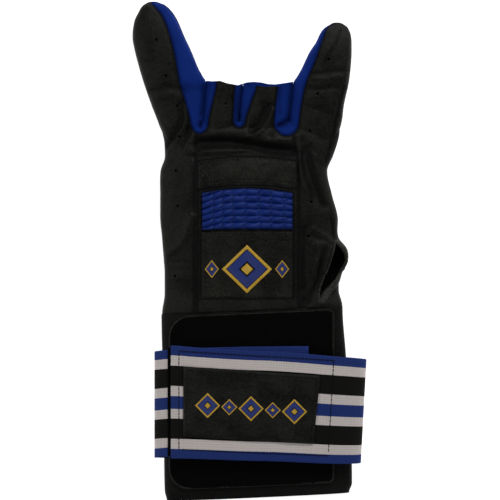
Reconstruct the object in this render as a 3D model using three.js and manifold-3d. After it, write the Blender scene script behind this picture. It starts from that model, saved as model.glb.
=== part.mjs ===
// A bowling glove lying on its palm, in millimetres, +Z up.
// The fingers point along +Y and the thumb opening is on the +X side.
import * as THREE from 'three';
import { mergeVertices } from 'three/addons/utils/BufferGeometryUtils.js';
import Module from 'manifold-3d';

const wasm = await Module();
wasm.setup();

// Driving dimensions
const handWidth = 108;
const handLength = 113;
const handDepth = 20;
const longFingerLength = 72.3;
const shortFingerLength = 59.7;
const stallLength = 23.5;
const fingerDepth = 15;
const palmRimReach = 2;
const cuffWidth = 111;
const cuffLength = 112;
const cuffDepth = 18;
const cuffSlant = 5;
const leatherWall = 1.6;
const clothWall = 1.2;
const palmSeamHeight = 4.6;
const ribHeight = 1.2;
const ribCount = 6;
const hemWidth = 2.6;
const hemRelief = 0.8;
const thumbOpeningLength = 37;
const thumbOpeningBow = 10;
const thumbOpeningFlatBow = 0.8;
const thumbOpeningFromWrist = 4.5;
const thumbOpeningFromSide = 8.2;
const thumbOpeningRise = 0.83;
const thumbLookUp = 48;
const thumbLean = 19;
const pileThickness = 1.4;
const pileMarginLeft = 4.2;
const pileMarginTop = 2;
const pileMarginRight = 10;
const pileMarginBelow = 7.5;
const pileCorner = 12;
const pileCornerRight = 3;
const strapWidth = 63.5;
const strapThickness = 1.8;
const strapHeightOnCuff = 55.5;
const strapSlackLeft = 3.6;
const strapSlackRight = 6;
const labelWidth = 78;
const labelHeight = 42;
const labelThickness = 1.2;
const labelTilt = 4;
const labelTurn = 100;
const clearance = 0.3;

// Smoothness of the surfaces
const handSides = 28;
const fingerSides = 16;
const cuffSides = 26;
const cuffSteps = 6;
const strapSteps = 50;
const labelSteps = 14;
const cornerSteps = 4;
const thumbSides = 16;
const roundness = 2.6;
const flatness = 1.14;

// A table is an array of rows, each read by the names of its columns.
const table = (names, rows) => rows.map(row => Object.fromEntries(names.map((name, i) => [name, row[i]])));

// The hand from the wrist to the webs. along: share of handLength. left, right: shares of
// handWidth from the middle line. low, high: shares of handDepth.
const handTable = table(['along', 'left', 'right', 'low', 'high'], [
  [0.10, -0.475, 0.494, 0.04, 0.95],
  [0.19, -0.475, 0.502, 0.00, 1.00],
  [0.27, -0.480, 0.540, 0.00, 1.00],
  [0.33, -0.485, 0.538, 0.00, 1.00],
  [0.39, -0.490, 0.492, 0.00, 1.00],
  [0.50, -0.500, 0.488, 0.00, 1.00],
  [0.62, -0.500, 0.455, 0.00, 1.00],
  [0.74, -0.498, 0.430, 0.00, 0.97],
  [0.82, -0.474, 0.462, 0.00, 0.90],
  [0.90, -0.478, 0.490, 0.00, 0.82],
  [0.96, -0.490, 0.500, 0.04, 0.74],
  [1.00, -0.488, 0.495, 0.15, 0.58],
]);

// Each finger from its root inside the hand to its tip. along: share of the finger's length
// above the web. left, right and the edges of the leather strip on its back: shares of
// handWidth. low, high: shares of fingerDepth.
const fingerColumns = ['along', 'left', 'right', 'low', 'high', 'stripLeft', 'stripRight'];
const longFinger = table(fingerColumns, [
  [-0.236, -0.460, -0.275, 0.10, 0.90, -0.70, -0.325],
  [0.00, -0.512, -0.264, 0.00, 1.00, -0.70, -0.331],
  [0.147, -0.550, -0.254, 0.00, 1.00, -0.70, -0.356],
  [0.314, -0.589, -0.245, 0.00, 1.00, -0.70, -0.389],
  [0.452, -0.617, -0.292, 0.00, 1.00, -0.70, -0.406],
  [0.589, -0.641, -0.330, 0.00, 0.98, -0.70, -0.423],
  [0.717, -0.655, -0.372, 0.00, 0.93, -0.70, -0.446],
  [0.844, -0.645, -0.411, 0.03, 0.84, -0.70, -0.476],
  [0.913, -0.624, -0.440, 0.10, 0.73, -0.70, -0.503],
  [0.957, -0.608, -0.467, 0.17, 0.64, -0.70, -0.530],
  [0.982, -0.593, -0.487, 0.23, 0.56, -0.70, -0.545],
  [1.00, -0.572, -0.508, 0.32, 0.47, -0.70, -0.555],
]);
const firstStall = table(fingerColumns, [
  [-0.70, -0.245, -0.075, 0.10, 0.90, -0.235, -0.093],
  [0.00, -0.260, -0.056, 0.00, 0.98, -0.231, -0.092],
  [0.50, -0.250, -0.045, 0.00, 1.00, -0.208, -0.089],
  [1.00, -0.241, -0.031, 0.00, 1.00, -0.186, -0.083],
]);
const secondStall = table(fingerColumns, [
  [-0.70, -0.040, 0.185, 0.10, 0.90, -0.034, 0.131],
  [0.00, -0.052, 0.210, 0.00, 0.98, -0.028, 0.133],
  [0.50, -0.041, 0.228, 0.00, 1.00, 0.006, 0.144],
  [1.00, -0.027, 0.245, 0.00, 1.00, 0.039, 0.156],
]);
const shortFinger = table(fingerColumns, [
  [-0.282, 0.235, 0.470, 0.10, 0.90, 0.262, 0.70],
  [0.00, 0.214, 0.511, 0.00, 1.00, 0.272, 0.70],
  [0.185, 0.232, 0.525, 0.00, 1.00, 0.286, 0.70],
  [0.389, 0.250, 0.550, 0.00, 1.00, 0.311, 0.70],
  [0.544, 0.289, 0.561, 0.00, 0.98, 0.347, 0.70],
  [0.709, 0.333, 0.567, 0.00, 0.93, 0.381, 0.70],
  [0.806, 0.369, 0.567, 0.03, 0.86, 0.400, 0.70],
  [0.894, 0.392, 0.561, 0.10, 0.74, 0.417, 0.70],
  [0.942, 0.410, 0.550, 0.18, 0.63, 0.428, 0.70],
  [0.975, 0.432, 0.538, 0.25, 0.54, 0.444, 0.70],
  [1.00, 0.456, 0.514, 0.32, 0.47, 0.465, 0.70],
]);

// The cuff from its open end to the wrist. left, right: shares of cuffWidth from the middle
// line. low, high: shares of cuffDepth.
const cuffTable = table(['along', 'left', 'right', 'low', 'high'], [
  [0.00, -0.450, 0.536, 0.06, 0.90],
  [0.05, -0.461, 0.552, 0.02, 0.96],
  [0.25, -0.465, 0.549, 0.00, 1.00],
  [0.50, -0.469, 0.537, 0.00, 1.00],
  [0.75, -0.474, 0.518, 0.00, 1.00],
  [1.00, -0.479, 0.501, 0.00, 1.00],
]);

// Folds pressed into the back of the glove, each along a line. fromX, toX: shares of
// handWidth. fromY, toY: shares of handLength above the wrist. width and depth: shares of
// handDepth, with a ridge where the depth is below zero.
const foldTable = table(['fromX', 'fromY', 'toX', 'toY', 'width', 'depth'], [
  [-0.27, 0.885, -0.01, 0.880, 0.15, 0.16],
  [-0.01, 0.880, 0.22, 0.845, 0.15, 0.16],
  [0.29, 0.900, 0.41, 0.640, 0.16, 0.11],
  [-0.47, 0.320, -0.31, 0.500, 0.20, -0.05],
  [-0.57, 1.160, -0.38, 1.150, 0.14, 0.06],
  [0.40, 1.400, 0.46, 1.270, 0.13, 0.05],
  [0.32, 1.200, 0.54, 1.190, 0.14, 0.06],
]);

// The course of the strap, by the angle turned round the cuff from its hidden end. rise and
// width: shares of strapWidth. layer: how many strap layers lie under it.
const strapTable = table(['turn', 'rise', 'width', 'layer'], [
  [68, 0.058, 1.00, 0],
  [180, 0.000, 1.005, 0],
  [270, -0.030, 1.00, 0],
  [360, -0.060, 0.98, 0.35],
  [410, -0.042, 1.005, 1],
  [450, 0.000, 1.03, 1],
  [480, 0.025, 1.045, 1],
  [500, 0.033, 1.06, 1],
]);

// The cloth walls. before, after: the two fingers that each one joins, counted from the left.
// reach: how far its bend comes down below the webs, in shares of handLength.
const fourchetteTable = table(['name', 'before', 'after', 'reach'], [
  ['fourchette_left', 0, 1, 0.062],
  ['fourchette_middle', 1, 2, 0.027],
  ['fourchette_right', 2, 3, 0.075],
]);

// Reads a table at any place along it: a smooth curve through the rows, level where they turn.
function read(rows, key, place, column) {
  let i = rows.findIndex(row => row[key] > place) - 1;
  if (i < 0) i = place < rows[0][key] ? 0 : rows.length - 2;
  const at = n => rows[Math.min(Math.max(n, 0), rows.length - 1)];
  const slope = n => {
    const rise = at(n)[column] - at(n - 1)[column];
    const next = at(n + 1)[column] - at(n)[column];
    return rise * next > 0 ? (rise + next) / (at(n + 1)[key] - at(n - 1)[key]) : 0;
  };
  const length = at(i + 1)[key] - at(i)[key];
  const t = Math.min(Math.max((place - at(i)[key]) / length, 0), 1);
  const held = 1 - 3 * t ** 2 + 2 * t ** 3;
  const leaving = t * (1 - t) ** 2 * length;
  const arriving = t ** 2 * (t - 1) * length;
  return held * at(i)[column] + (1 - held) * at(i + 1)[column] + leaving * slope(i) + arriving * slope(i + 1);
}

// How far the folds lower the back of the glove at one place
function foldDepth(x, y) {
  let depth = 0;
  for (const fold of foldTable) {
    const from = new THREE.Vector3(fold.fromX * handWidth, wristY + fold.fromY * handLength, 0);
    const to = new THREE.Vector3(fold.toX * handWidth, wristY + fold.toY * handLength, 0);
    const point = new THREE.Vector3(x, y, 0);
    const nearest = new THREE.Line3(from, to).closestPointToPoint(point, true, new THREE.Vector3());
    const away = nearest.distanceTo(point) / (fold.width * handDepth);
    depth += fold.depth * handDepth * Math.exp(-(away ** 2));
  }
  return depth;
}

// One point of a rounded section with a flat underside, drawn in by an inset
function sectionPoint(section, angle, inset = 0) {
  const c = Math.cos(angle);
  const s = Math.sin(angle);
  const across = Math.sign(c) * Math.abs(c) ** (2 / roundness);
  const up = Math.abs(s) ** (2 / roundness);
  const halfWidth = (section.right - section.left) / 2 - inset;
  const halfDepth = (section.high - section.low) / 2 - inset;
  const x = (section.left + section.right) / 2 + halfWidth * across;
  const height = s < 0 ? -Math.min(1, up * flatness) : up;
  const z = (section.low + section.high) / 2 + halfDepth * height;
  const y = section.y + section.slant * (x / cuffWidth);
  return { x, y, z, top: s > 0 ? up : 0 };
}

// A closed tube through sections at rising y, with flat ends
function tube(sections, sides, { inset = 0, relief = () => 0 } = {}) {
  const places = [];
  const faces = [];
  for (const section of sections) {
    for (let i = 0; i < sides; i += 1) {
      const point = sectionPoint(section, ((i + 0.5) * 2 * Math.PI) / sides, inset);
      const lift = (relief(point.x, point.y) - foldDepth(point.x, point.y)) * point.top;
      places.push(point.x, point.y, point.z + lift);
    }
  }
  for (let row = 0; row < sections.length - 1; row += 1) {
    for (let i = 0; i < sides; i += 1) {
      const a = row * sides + i;
      const b = row * sides + ((i + 1) % sides);
      faces.push(a, a + sides, b, b, a + sides, b + sides);
    }
  }
  for (let i = 1; i < sides - 1; i += 1) {
    const last = (sections.length - 1) * sides;
    faces.push(0, i, i + 1, last, last + i + 1, last + i);
  }
  const geometry = new THREE.BufferGeometry();
  geometry.setAttribute('position', new THREE.Float32BufferAttribute(places, 3));
  geometry.setIndex(faces);
  return solid(geometry);
}

// A band of even thickness along a course of points, each with its normal and its two edges
function ribbon(course, thickness) {
  const places = [];
  const faces = [];
  for (const { x, z, normalX, normalZ, bottom, top } of course) {
    for (const [side, y] of [[-1, bottom], [1, bottom], [1, top], [-1, top]]) {
      const reach = (side * thickness) / 2;
      places.push(x + normalX * reach, y, z + normalZ * reach);
    }
  }
  for (let row = 0; row < course.length - 1; row += 1) {
    for (let i = 0; i < 4; i += 1) {
      const a = row * 4 + i;
      const b = row * 4 + ((i + 1) % 4);
      faces.push(a, b, a + 4, b, b + 4, a + 4);
    }
  }
  const last = (course.length - 1) * 4;
  faces.push(0, 2, 1, 0, 3, 2, last, last + 1, last + 2, last, last + 2, last + 3);
  const geometry = new THREE.BufferGeometry();
  geometry.setAttribute('position', new THREE.Float32BufferAttribute(places, 3));
  geometry.setIndex(faces);
  return solid(geometry);
}

// A closed mesh as a solid that can be joined and cut
function solid(geometry) {
  const bare = geometry.clone();
  bare.deleteAttribute('normal');
  bare.deleteAttribute('uv');
  const merged = mergeVertices(bare, 1e-5);
  const vertProperties = new Float32Array(merged.attributes.position.array);
  const triVerts = new Uint32Array(merged.index.array);
  return new wasm.Manifold(new wasm.Mesh({ numProp: 3, vertProperties, triVerts }));
}

// The main body of a cut, without the crumbs that a blade leaves at a grazed edge
function mainBody(body) {
  const bodies = body.decompose();
  return bodies.reduce((most, next) => (next.volume() > most.volume() ? next : most));
}

// A prism between two heights over a plan outline
function prism(outline, low, high) {
  const shape = new THREE.Shape(outline);
  const geometry = new THREE.ExtrudeGeometry(shape, { depth: high - low, bevelEnabled: false });
  return solid(geometry.translate(0, 0, low));
}

function box(left, right, back, front, low, high) {
  const geometry = new THREE.BoxGeometry(right - left, front - back, high - low);
  return solid(geometry.translate((left + right) / 2, (back + front) / 2, (low + high) / 2));
}

// A plan outline moved outward by a distance, corner by corner
function grown(outline, distance) {
  const count = outline.length;
  return outline.map((point, i) => {
    const before = outline[(i + count - 1) % count];
    const after = outline[(i + 1) % count];
    const arriving = point.clone().sub(before).normalize();
    const leaving = after.clone().sub(point).normalize();
    const middle = arriving.clone().add(leaving).normalize();
    const reach = distance / Math.max(0.5, middle.dot(arriving));
    return new THREE.Vector2(point.x + middle.y * reach, point.y - middle.x * reach);
  });
}

// Sections of the three kinds of tube, in millimetres
const wristY = cuffLength;
const webY = wristY + handLength;
const cuffLow = strapThickness + 2 * clearance;
const everything = 2 * (handLength + cuffLength);

function cuffSection(along) {
  return {
    y: along * cuffLength,
    left: read(cuffTable, 'along', along, 'left') * cuffWidth,
    right: read(cuffTable, 'along', along, 'right') * cuffWidth,
    low: cuffLow + read(cuffTable, 'along', along, 'low') * cuffDepth,
    high: cuffLow + read(cuffTable, 'along', along, 'high') * cuffDepth,
    slant: cuffSlant,
  };
}

// The first row of the hand is the wrist end of the cuff.
const wrist = cuffSection(1);
const handRows = [
  {
    along: 0,
    left: wrist.left / handWidth,
    right: wrist.right / handWidth,
    low: wrist.low / handDepth,
    high: wrist.high / handDepth,
  },
  ...handTable,
];

function handSection(along) {
  const still = Math.max(0, 1 - along / handTable[1].along);
  return {
    y: wristY + clearance + along * (handLength - clearance),
    left: read(handRows, 'along', along, 'left') * handWidth,
    right: read(handRows, 'along', along, 'right') * handWidth,
    low: read(handRows, 'along', along, 'low') * handDepth,
    high: read(handRows, 'along', along, 'high') * handDepth,
    slant: cuffSlant * still,
  };
}

function fingerSection(finger, length, along) {
  return {
    y: webY + along * length,
    left: read(finger, 'along', along, 'left') * handWidth,
    right: read(finger, 'along', along, 'right') * handWidth,
    low: read(finger, 'along', along, 'low') * fingerDepth,
    high: read(finger, 'along', along, 'high') * fingerDepth,
    slant: 0,
  };
}

// The room round a closed finger, above the web and out past the glove's side
function fingerRoom(finger, grow) {
  const root = fingerSection(finger.rows, finger.length, 0);
  const left = root.left < 0 ? -everything : root.left - grow;
  const right = root.left < 0 ? root.right + grow : everything;
  return box(left, right, webY + clearance - grow, everything, -everything, everything);
}

// Evenly spaced places from one share to another, with both ends
function spread(from, to, count) {
  return Array.from({ length: count + 1 }, (_, i) => from + ((to - from) * i) / count);
}

const fingers = [
  { name: 'long_finger', rows: longFinger, length: longFingerLength, closed: true },
  { name: 'first_stall', rows: firstStall, length: stallLength, closed: false },
  { name: 'second_stall', rows: secondStall, length: stallLength, closed: false },
  { name: 'short_finger', rows: shortFinger, length: shortFingerLength, closed: true },
];

// The leather and cloth shell: the hand and its four fingers outside, less the same inside
function handStations() {
  return [0, 0.1, 0.19, 0.27, 0.33, 0.39, 0.5, 0.62, 0.72, 0.8, 0.845, 0.88, 0.915, 0.955, 1];
}

function fingerStations(finger) {
  const places = [];
  for (let i = 0; i < finger.rows.length - 1; i += 1) {
    const from = finger.rows[i].along;
    const to = finger.rows[i + 1].along;
    const count = to - from > 0.16 ? 2 : 1;
    places.push(...spread(from, to, count).slice(0, count));
  }
  return places;
}

function outside() {
  let whole = tube(handStations().map(handSection), handSides);
  for (const finger of fingers) {
    const places = [...fingerStations(finger), 1];
    if (!finger.closed) places.push(1 + palmRimReach / finger.length);
    const sections = places.map(place => fingerSection(finger.rows, finger.length, place));
    whole = whole.add(tube(sections, fingerSides));
  }
  return whole;
}

function inside(wall) {
  const stations = handStations().map(handSection);
  const opening = { ...stations[0], y: stations[0].y - wall };
  const end = handSection(1 - wall / handLength);
  const rows = [opening, ...stations.filter(section => section.y < end.y - wall), end];
  let whole = tube(rows, handSides, { inset: wall });
  for (const finger of fingers) {
    const last = finger.closed ? 1 - wall / finger.length : 1 + (palmRimReach + wall) / finger.length;
    const places = [...fingerStations(finger).filter(place => place < last - 0.01), last];
    const sections = places.map(place => fingerSection(finger.rows, finger.length, place));
    whole = whole.add(tube(sections, fingerSides, { inset: wall }));
  }
  return whole;
}

// Plan outlines of the cloth walls and the panels

// The cloth wall between two neighbouring fingers: past both leather strips and round the web
function fourchetteOutline(before, after, reach) {
  const down = rows => rows.filter(row => row.along >= 0).reverse();
  const strip = (finger, edge) => down(finger.rows).map(row => {
    return new THREE.Vector2(row[edge] * handWidth, webY + row.along * finger.length);
  });
  const left = strip(before, 'stripRight');
  const right = strip(after, 'stripLeft').reverse();
  const from = left[left.length - 1];
  const to = right[0];
  const bend = [];
  for (const share of spread(0, 1, 8).slice(1, 8)) {
    const turn = Math.PI * share;
    const x = (from.x + to.x) / 2 - ((to.x - from.x) / 2) * Math.cos(turn);
    bend.push(new THREE.Vector2(x, webY - reach * handLength * Math.sin(turn)));
  }
  const leftTop = left[0];
  const rightTop = right[right.length - 1];
  const rimY = webY + stallLength + hemWidth;
  const leftTipY = leftTop.y + hemWidth;
  const rightTipY = rightTop.y + hemWidth;
  const cap = [];
  if (before.closed) {
    const edge = read(after.rows, 'along', 1, 'left') * handWidth - clearance;
    cap.push([rightTop.x, rimY], [edge, rimY], [edge, leftTipY], [leftTop.x, leftTipY]);
  } else if (after.closed) {
    const edge = read(before.rows, 'along', 1, 'right') * handWidth + clearance;
    cap.push([rightTop.x, rightTipY], [edge, rightTipY], [edge, rimY], [leftTop.x, rimY]);
  } else {
    cap.push([rightTop.x, rimY], [leftTop.x, rimY]);
  }
  return [...left, ...bend, ...right, ...cap.map(([x, y]) => new THREE.Vector2(x, y))];
}

// A panel on the back: straight sides, and a bottom and a top that each arch upwards in the middle,
// in shares of the hand
function panelOutline({ left, right, bottom, top, archBelow, arch }) {
  const bow = share => Math.sin(Math.PI * share);
  const place = (x, y) => new THREE.Vector2(x * handWidth, wristY + y * handLength);
  const across = share => left + (right - left) * share;
  const lower = spread(0, 1, 6).map(share => place(across(share), bottom + bow(share) * archBelow));
  const upper = spread(1, 0, 6).map(share => place(across(share), top + bow(share) * arch));
  return [...lower, ...upper];
}

const panels = table(['name', 'left', 'right', 'bottom', 'top', 'archBelow', 'arch', 'raised'], [
  ['knuckle_panel', -0.292, 0.268, 0.636, 0.790, 0.024, 0.024, 0.4],
  ['flex_panel', -0.266, 0.236, 0.428, 0.622, 0.002, 0.024, 0],
  ['back_patch', -0.272, 0.242, 0.060, 0.420, 0, 0, 0.4],
]);

// Six ribs across the flex panel, each bowed between the arches of its edges
function ribs(panel) {
  return (x, y) => {
    const across = (x / handWidth - panel.left) / (panel.right - panel.left);
    const bow = Math.sin(Math.PI * Math.min(Math.max(across, 0), 1));
    const low = panel.bottom + bow * panel.archBelow;
    const high = panel.top + bow * panel.arch;
    const up = ((y - wristY) / handLength - low) / (high - low);
    if (up < 0 || up > 1) return 0;
    return ribHeight * Math.abs(Math.sin(Math.PI * ribCount * up));
  };
}

// One panel: the part of its own shell that lies over its outline
function panelSolid(panel) {
  const ribbed = panel.name === 'flex_panel';
  const steps = ribbed ? ribCount * 4 : 5;
  const wall = ribbed ? clothWall : leatherWall;
  const margin = leatherWall / handLength;
  const sections = spread(panel.bottom - margin, panel.top + panel.arch + margin, steps).map(handSection);
  const beyond = [
    { ...sections[0], y: sections[0].y - wall },
    ...sections.slice(1, -1),
    { ...sections[steps], y: sections[steps].y + wall },
  ];
  const outer = tube(sections, handSides, { relief: ribbed ? ribs(panel) : () => 0, inset: -panel.raised });
  const inner = tube(beyond, handSides, { inset: wall });
  return outer.subtract(inner).intersect(prism(panelOutline(panel), handDepth / 2, everything));
}

// The thumb opening in its own plane. x: along the hand, y: towards its back. The edge on the back
// is nearly straight, and the rim on the palm side bows out, most near the fingers.
function thumbOutline() {
  return spread(0, 2 * Math.PI, thumbSides).slice(0, thumbSides).map(turn => {
    const share = (1 - Math.cos(turn)) / 2;
    const bow = Math.sin(Math.PI * share ** 0.6) ** 1.5;
    const onBack = turn < Math.PI;
    const reach = onBack ? thumbOpeningFlatBow * Math.sin(turn) : -thumbOpeningBow * bow;
    return new THREE.Vector2((thumbOpeningLength / 2) * Math.cos(turn), reach);
  });
}

// A cutter through the thumb opening, which looks out to the side and up
function thumbCutter(grow) {
  const outline = grow > 0 ? grown(thumbOutline(), grow) : thumbOutline();
  const shape = new THREE.Shape(outline);
  const cutter = new THREE.ExtrudeGeometry(shape, { depth: handWidth / 2, bevelEnabled: false });
  cutter.translate(0, 0, -thumbOpeningBow / 2 - leatherWall);
  const look = THREE.MathUtils.degToRad(thumbLookUp);
  cutter.applyMatrix4(new THREE.Matrix4().makeBasis(
    new THREE.Vector3(0, 1, 0),
    new THREE.Vector3(-Math.sin(look), 0, Math.cos(look)),
    new THREE.Vector3(Math.cos(look), 0, Math.sin(look)),
  ));
  cutter.rotateZ(-THREE.MathUtils.degToRad(thumbLean));
  const middle = (thumbOpeningFromWrist + thumbOpeningLength / 2) / handLength;
  const side = handSection(middle);
  const height = side.low + (side.high - side.low) * thumbOpeningRise;
  return solid(cutter.translate(side.right - thumbOpeningFromSide, side.y, height));
}

// Turns round the cuff: one place on the strap's middle line, moved out along its normal
function strapPlace(turn, lift) {
  const layer = read(strapTable, 'turn', turn, 'layer') * (strapThickness + 2 * clearance);
  const half = strapThickness / 2;
  const middle = cuffSection(strapHeightOnCuff / cuffLength);
  const section = {
    y: 0,
    left: middle.left - strapSlackLeft - half - layer,
    right: middle.right + strapSlackRight + half + layer,
    low: half,
    high: middle.high + pileThickness + 2 * clearance + half + layer,
    slant: 0,
  };
  const angle = THREE.MathUtils.degToRad(turn);
  const step = 0.01;
  const before = sectionPoint(section, angle - step);
  const after = sectionPoint(section, angle + step);
  const here = sectionPoint(section, angle);
  const run = Math.hypot(after.x - before.x, after.z - before.z);
  const normalX = (after.z - before.z) / run;
  const normalZ = -(after.x - before.x) / run;
  const middleY = strapHeightOnCuff + read(strapTable, 'turn', turn, 'rise') * strapWidth;
  const halfWidth = (read(strapTable, 'turn', turn, 'width') * strapWidth) / 2;
  return {
    x: here.x + normalX * lift,
    z: here.z + normalZ * lift,
    normalX,
    normalZ,
    bottom: middleY - halfWidth,
    top: middleY + halfWidth,
  };
}

function roundedOutline(left, right, bottom, top, cornerLeft, cornerRight, tilt = 0) {
  const path = new THREE.Path();
  const quarter = Math.PI / 2;
  path.absarc(right - cornerRight, bottom + cornerRight, cornerRight, -quarter, 0);
  path.absarc(right - cornerRight, top - cornerRight, cornerRight, 0, quarter);
  path.absarc(left + cornerLeft, top - cornerLeft, cornerLeft, quarter, 2 * quarter);
  path.absarc(left + cornerLeft, bottom + cornerLeft, cornerLeft, 2 * quarter, 3 * quarter);
  const middle = new THREE.Vector2((left + right) / 2, (bottom + top) / 2);
  const turn = -THREE.MathUtils.degToRad(tilt);
  return path.getPoints(cornerSteps).map(point => point.rotateAround(middle, turn));
}

// Looks
const leather = new THREE.MeshStandardMaterial({ color: 0x1c1c19, roughness: 0.55, metalness: 0 });
const cloth = new THREE.MeshStandardMaterial({ color: 0x0f2564, roughness: 0.85, metalness: 0 });
const pile = new THREE.MeshStandardMaterial({ color: 0x080808, roughness: 1, metalness: 0 });
const elastic = new THREE.MeshStandardMaterial({ color: 0x1f2d5c, roughness: 0.9, metalness: 0 });

const glove = new THREE.Group();

// Puts one solid into the glove as a named mesh.
function add(name, body, material) {
  const { vertProperties, triVerts, numProp } = mainBody(body).getMesh();
  const places = [];
  for (let i = 0; i < vertProperties.length; i += numProp) places.push(...vertProperties.slice(i, i + 3));
  const geometry = new THREE.BufferGeometry();
  geometry.setAttribute('position', new THREE.Float32BufferAttribute(places, 3));
  geometry.setIndex([...triVerts]);
  geometry.computeVertexNormals();
  const mesh = new THREE.Mesh(geometry, material);
  mesh.name = name;
  glove.add(mesh);
}

// The hand: one shell, cut along its seams
function addHand() {
  const shell = outside().subtract(inside(leatherWall)).subtract(thumbCutter(hemWidth + clearance));
  const back = box(-everything, everything, -everything, everything, palmSeamHeight + clearance, everything);
  const front = box(-everything, everything, -everything, everything, -everything, palmSeamHeight);
  const rimY = webY + stallLength;
  const stallsLeft = read(firstStall, 'along', 1, 'left') * handWidth - clearance;
  const stallsRight = read(secondStall, 'along', 1, 'right') * handWidth + clearance;
  const rim = box(stallsLeft, stallsRight, rimY, rimY + stallLength, palmSeamHeight, everything);
  let backPart = shell.intersect(back).subtract(rim);
  let palmPart = shell.intersect(front);

  const upper = backPart;
  for (const { name, before, after, reach } of fourchetteTable) {
    const outline = fourchetteOutline(fingers[before], fingers[after], reach);
    add(name, upper.intersect(prism(outline, 0, everything)), cloth);
    backPart = backPart.subtract(prism(grown(outline, clearance), 0, everything));
  }
  for (const panel of panels) {
    add(panel.name, panelSolid(panel), panel.name === 'flex_panel' ? cloth : leather);
    backPart = backPart.subtract(prism(grown(panelOutline(panel), clearance), handDepth / 2, everything));
  }
  for (const finger of fingers.filter(one => one.closed)) {
    const room = fingerRoom(finger, 0);
    add(`${finger.name}_back`, backPart.intersect(room), leather);
    add(`${finger.name}_palm`, palmPart.intersect(room), leather);
    backPart = backPart.subtract(fingerRoom(finger, clearance));
    palmPart = palmPart.subtract(fingerRoom(finger, clearance));
  }
  add('back_leather', backPart, leather);
  add('palm_leather', palmPart, leather);
}

// The hem round the thumb opening: a ring that stands a little proud of the leather
function addThumbBinding() {
  const stations = handStations().map(handSection);
  const raised = tube(stations, handSides, { inset: -hemRelief });
  const hollow = tube(stations, handSides, { inset: leatherWall });
  const ring = thumbCutter(hemWidth).subtract(thumbCutter(0));
  add('thumb_binding', raised.subtract(hollow).intersect(ring), leather);
}

function addCuff() {
  const sections = spread(0, 1, cuffSteps).map(cuffSection);
  const last = sections.length - 1;
  const through = [
    { ...sections[0], y: sections[0].y - leatherWall },
    ...sections.slice(1, last),
    { ...sections[last], y: sections[last].y + leatherWall },
  ];
  const outer = tube(sections, cuffSides);
  add('cuff', outer.subtract(tube(through, cuffSides, { inset: leatherWall })), leather);

  const under = tube(through, cuffSides, { inset: -clearance });
  const over = tube(sections, cuffSides, { inset: -clearance - pileThickness });
  const middle = cuffSection(0.5);
  const outline = roundedOutline(
    middle.left + pileMarginLeft,
    middle.right - pileMarginRight,
    pileMarginBelow,
    cuffLength - pileMarginTop,
    pileCorner,
    pileCornerRight,
  );
  const slanted = outline.map(({ x, y }) => new THREE.Vector2(x, y + (cuffSlant * x) / cuffWidth));
  const plan = prism(slanted, cuffLow + cuffDepth / 2, everything);
  add('loop_panel', over.subtract(under).intersect(plan), pile);
}

function addStrap() {
  const from = strapTable[0].turn;
  const to = strapTable[strapTable.length - 1].turn;
  const course = spread(from, to, strapSteps).map(turn => strapPlace(turn, 0));
  add('wrist_strap', ribbon(course, strapThickness), elastic);

  const lift = strapThickness / 2 + clearance + labelThickness / 2;
  const wide = spread(to - labelTurn, to, labelSteps).map(turn => strapPlace(turn, lift));
  const outline = roundedOutline(
    -labelWidth / 2,
    labelWidth / 2,
    strapHeightOnCuff - labelHeight / 2,
    strapHeightOnCuff + labelHeight / 2,
    labelThickness,
    labelThickness,
    labelTilt,
  );
  add('strap_label', ribbon(wide, labelThickness).intersect(prism(outline, cuffDepth, everything)), leather);
}

addHand();
addThumbBinding();
addCuff();
addStrap();

// The origin is the middle of the glove's footprint.
const bounds = new THREE.Box3().setFromObject(glove);
const middle = bounds.getCenter(new THREE.Vector3());
glove.position.set(-middle.x, -middle.y, -bounds.min.z);

export default glove;
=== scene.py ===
# %% [markdown]
# # A bowling glove, lying on its palm
# The glove is a leather hand with blue cloth walls between its fingers, a shirred panel over the
# knuckles, and a wide cuff that a striped elastic strap is wound round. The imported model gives
# every size, so the first step loads it and keeps its box.

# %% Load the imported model
import math
import bmesh
import bpy
from mathutils import Matrix, Vector, noise
from mathutils.bvhtree import BVHTree
from mathutils.kdtree import KDTree


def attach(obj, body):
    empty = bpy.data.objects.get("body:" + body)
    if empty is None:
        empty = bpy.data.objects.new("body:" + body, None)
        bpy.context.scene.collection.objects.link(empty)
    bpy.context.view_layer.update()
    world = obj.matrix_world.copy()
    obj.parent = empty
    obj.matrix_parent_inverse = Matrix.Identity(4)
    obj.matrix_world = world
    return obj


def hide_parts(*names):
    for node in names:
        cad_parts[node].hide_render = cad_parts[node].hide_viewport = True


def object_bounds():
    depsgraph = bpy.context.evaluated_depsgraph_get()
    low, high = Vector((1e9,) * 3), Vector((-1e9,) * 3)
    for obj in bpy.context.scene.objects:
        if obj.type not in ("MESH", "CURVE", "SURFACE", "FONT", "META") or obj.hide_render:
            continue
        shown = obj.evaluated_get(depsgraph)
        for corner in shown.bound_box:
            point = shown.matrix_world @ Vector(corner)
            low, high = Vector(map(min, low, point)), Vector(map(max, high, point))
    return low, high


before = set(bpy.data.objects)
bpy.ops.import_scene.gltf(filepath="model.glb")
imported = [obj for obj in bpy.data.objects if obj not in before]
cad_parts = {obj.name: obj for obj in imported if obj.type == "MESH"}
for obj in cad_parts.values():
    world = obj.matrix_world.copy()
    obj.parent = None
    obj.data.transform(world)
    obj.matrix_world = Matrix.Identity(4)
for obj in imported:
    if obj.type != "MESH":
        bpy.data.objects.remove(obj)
cad_low, cad_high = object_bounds()
cad_sides = [round(side * 1000, 1) for side in cad_high - cad_low]
print("packed model:", len(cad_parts), "nodes,", cad_sides, "mm")

# %% [markdown]
# ## Places on the glove
# The photograph looks straight down, so one pixel covers the same 0.6 mm everywhere. A place that
# was read off the photograph becomes a place on the table, and the height comes from the surface.

# %% From the photograph to the table
mm = 0.001
photo_pixel = 0.6 * mm
photo_centre = Vector((1.114, 0.668, 0)) * mm


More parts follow.
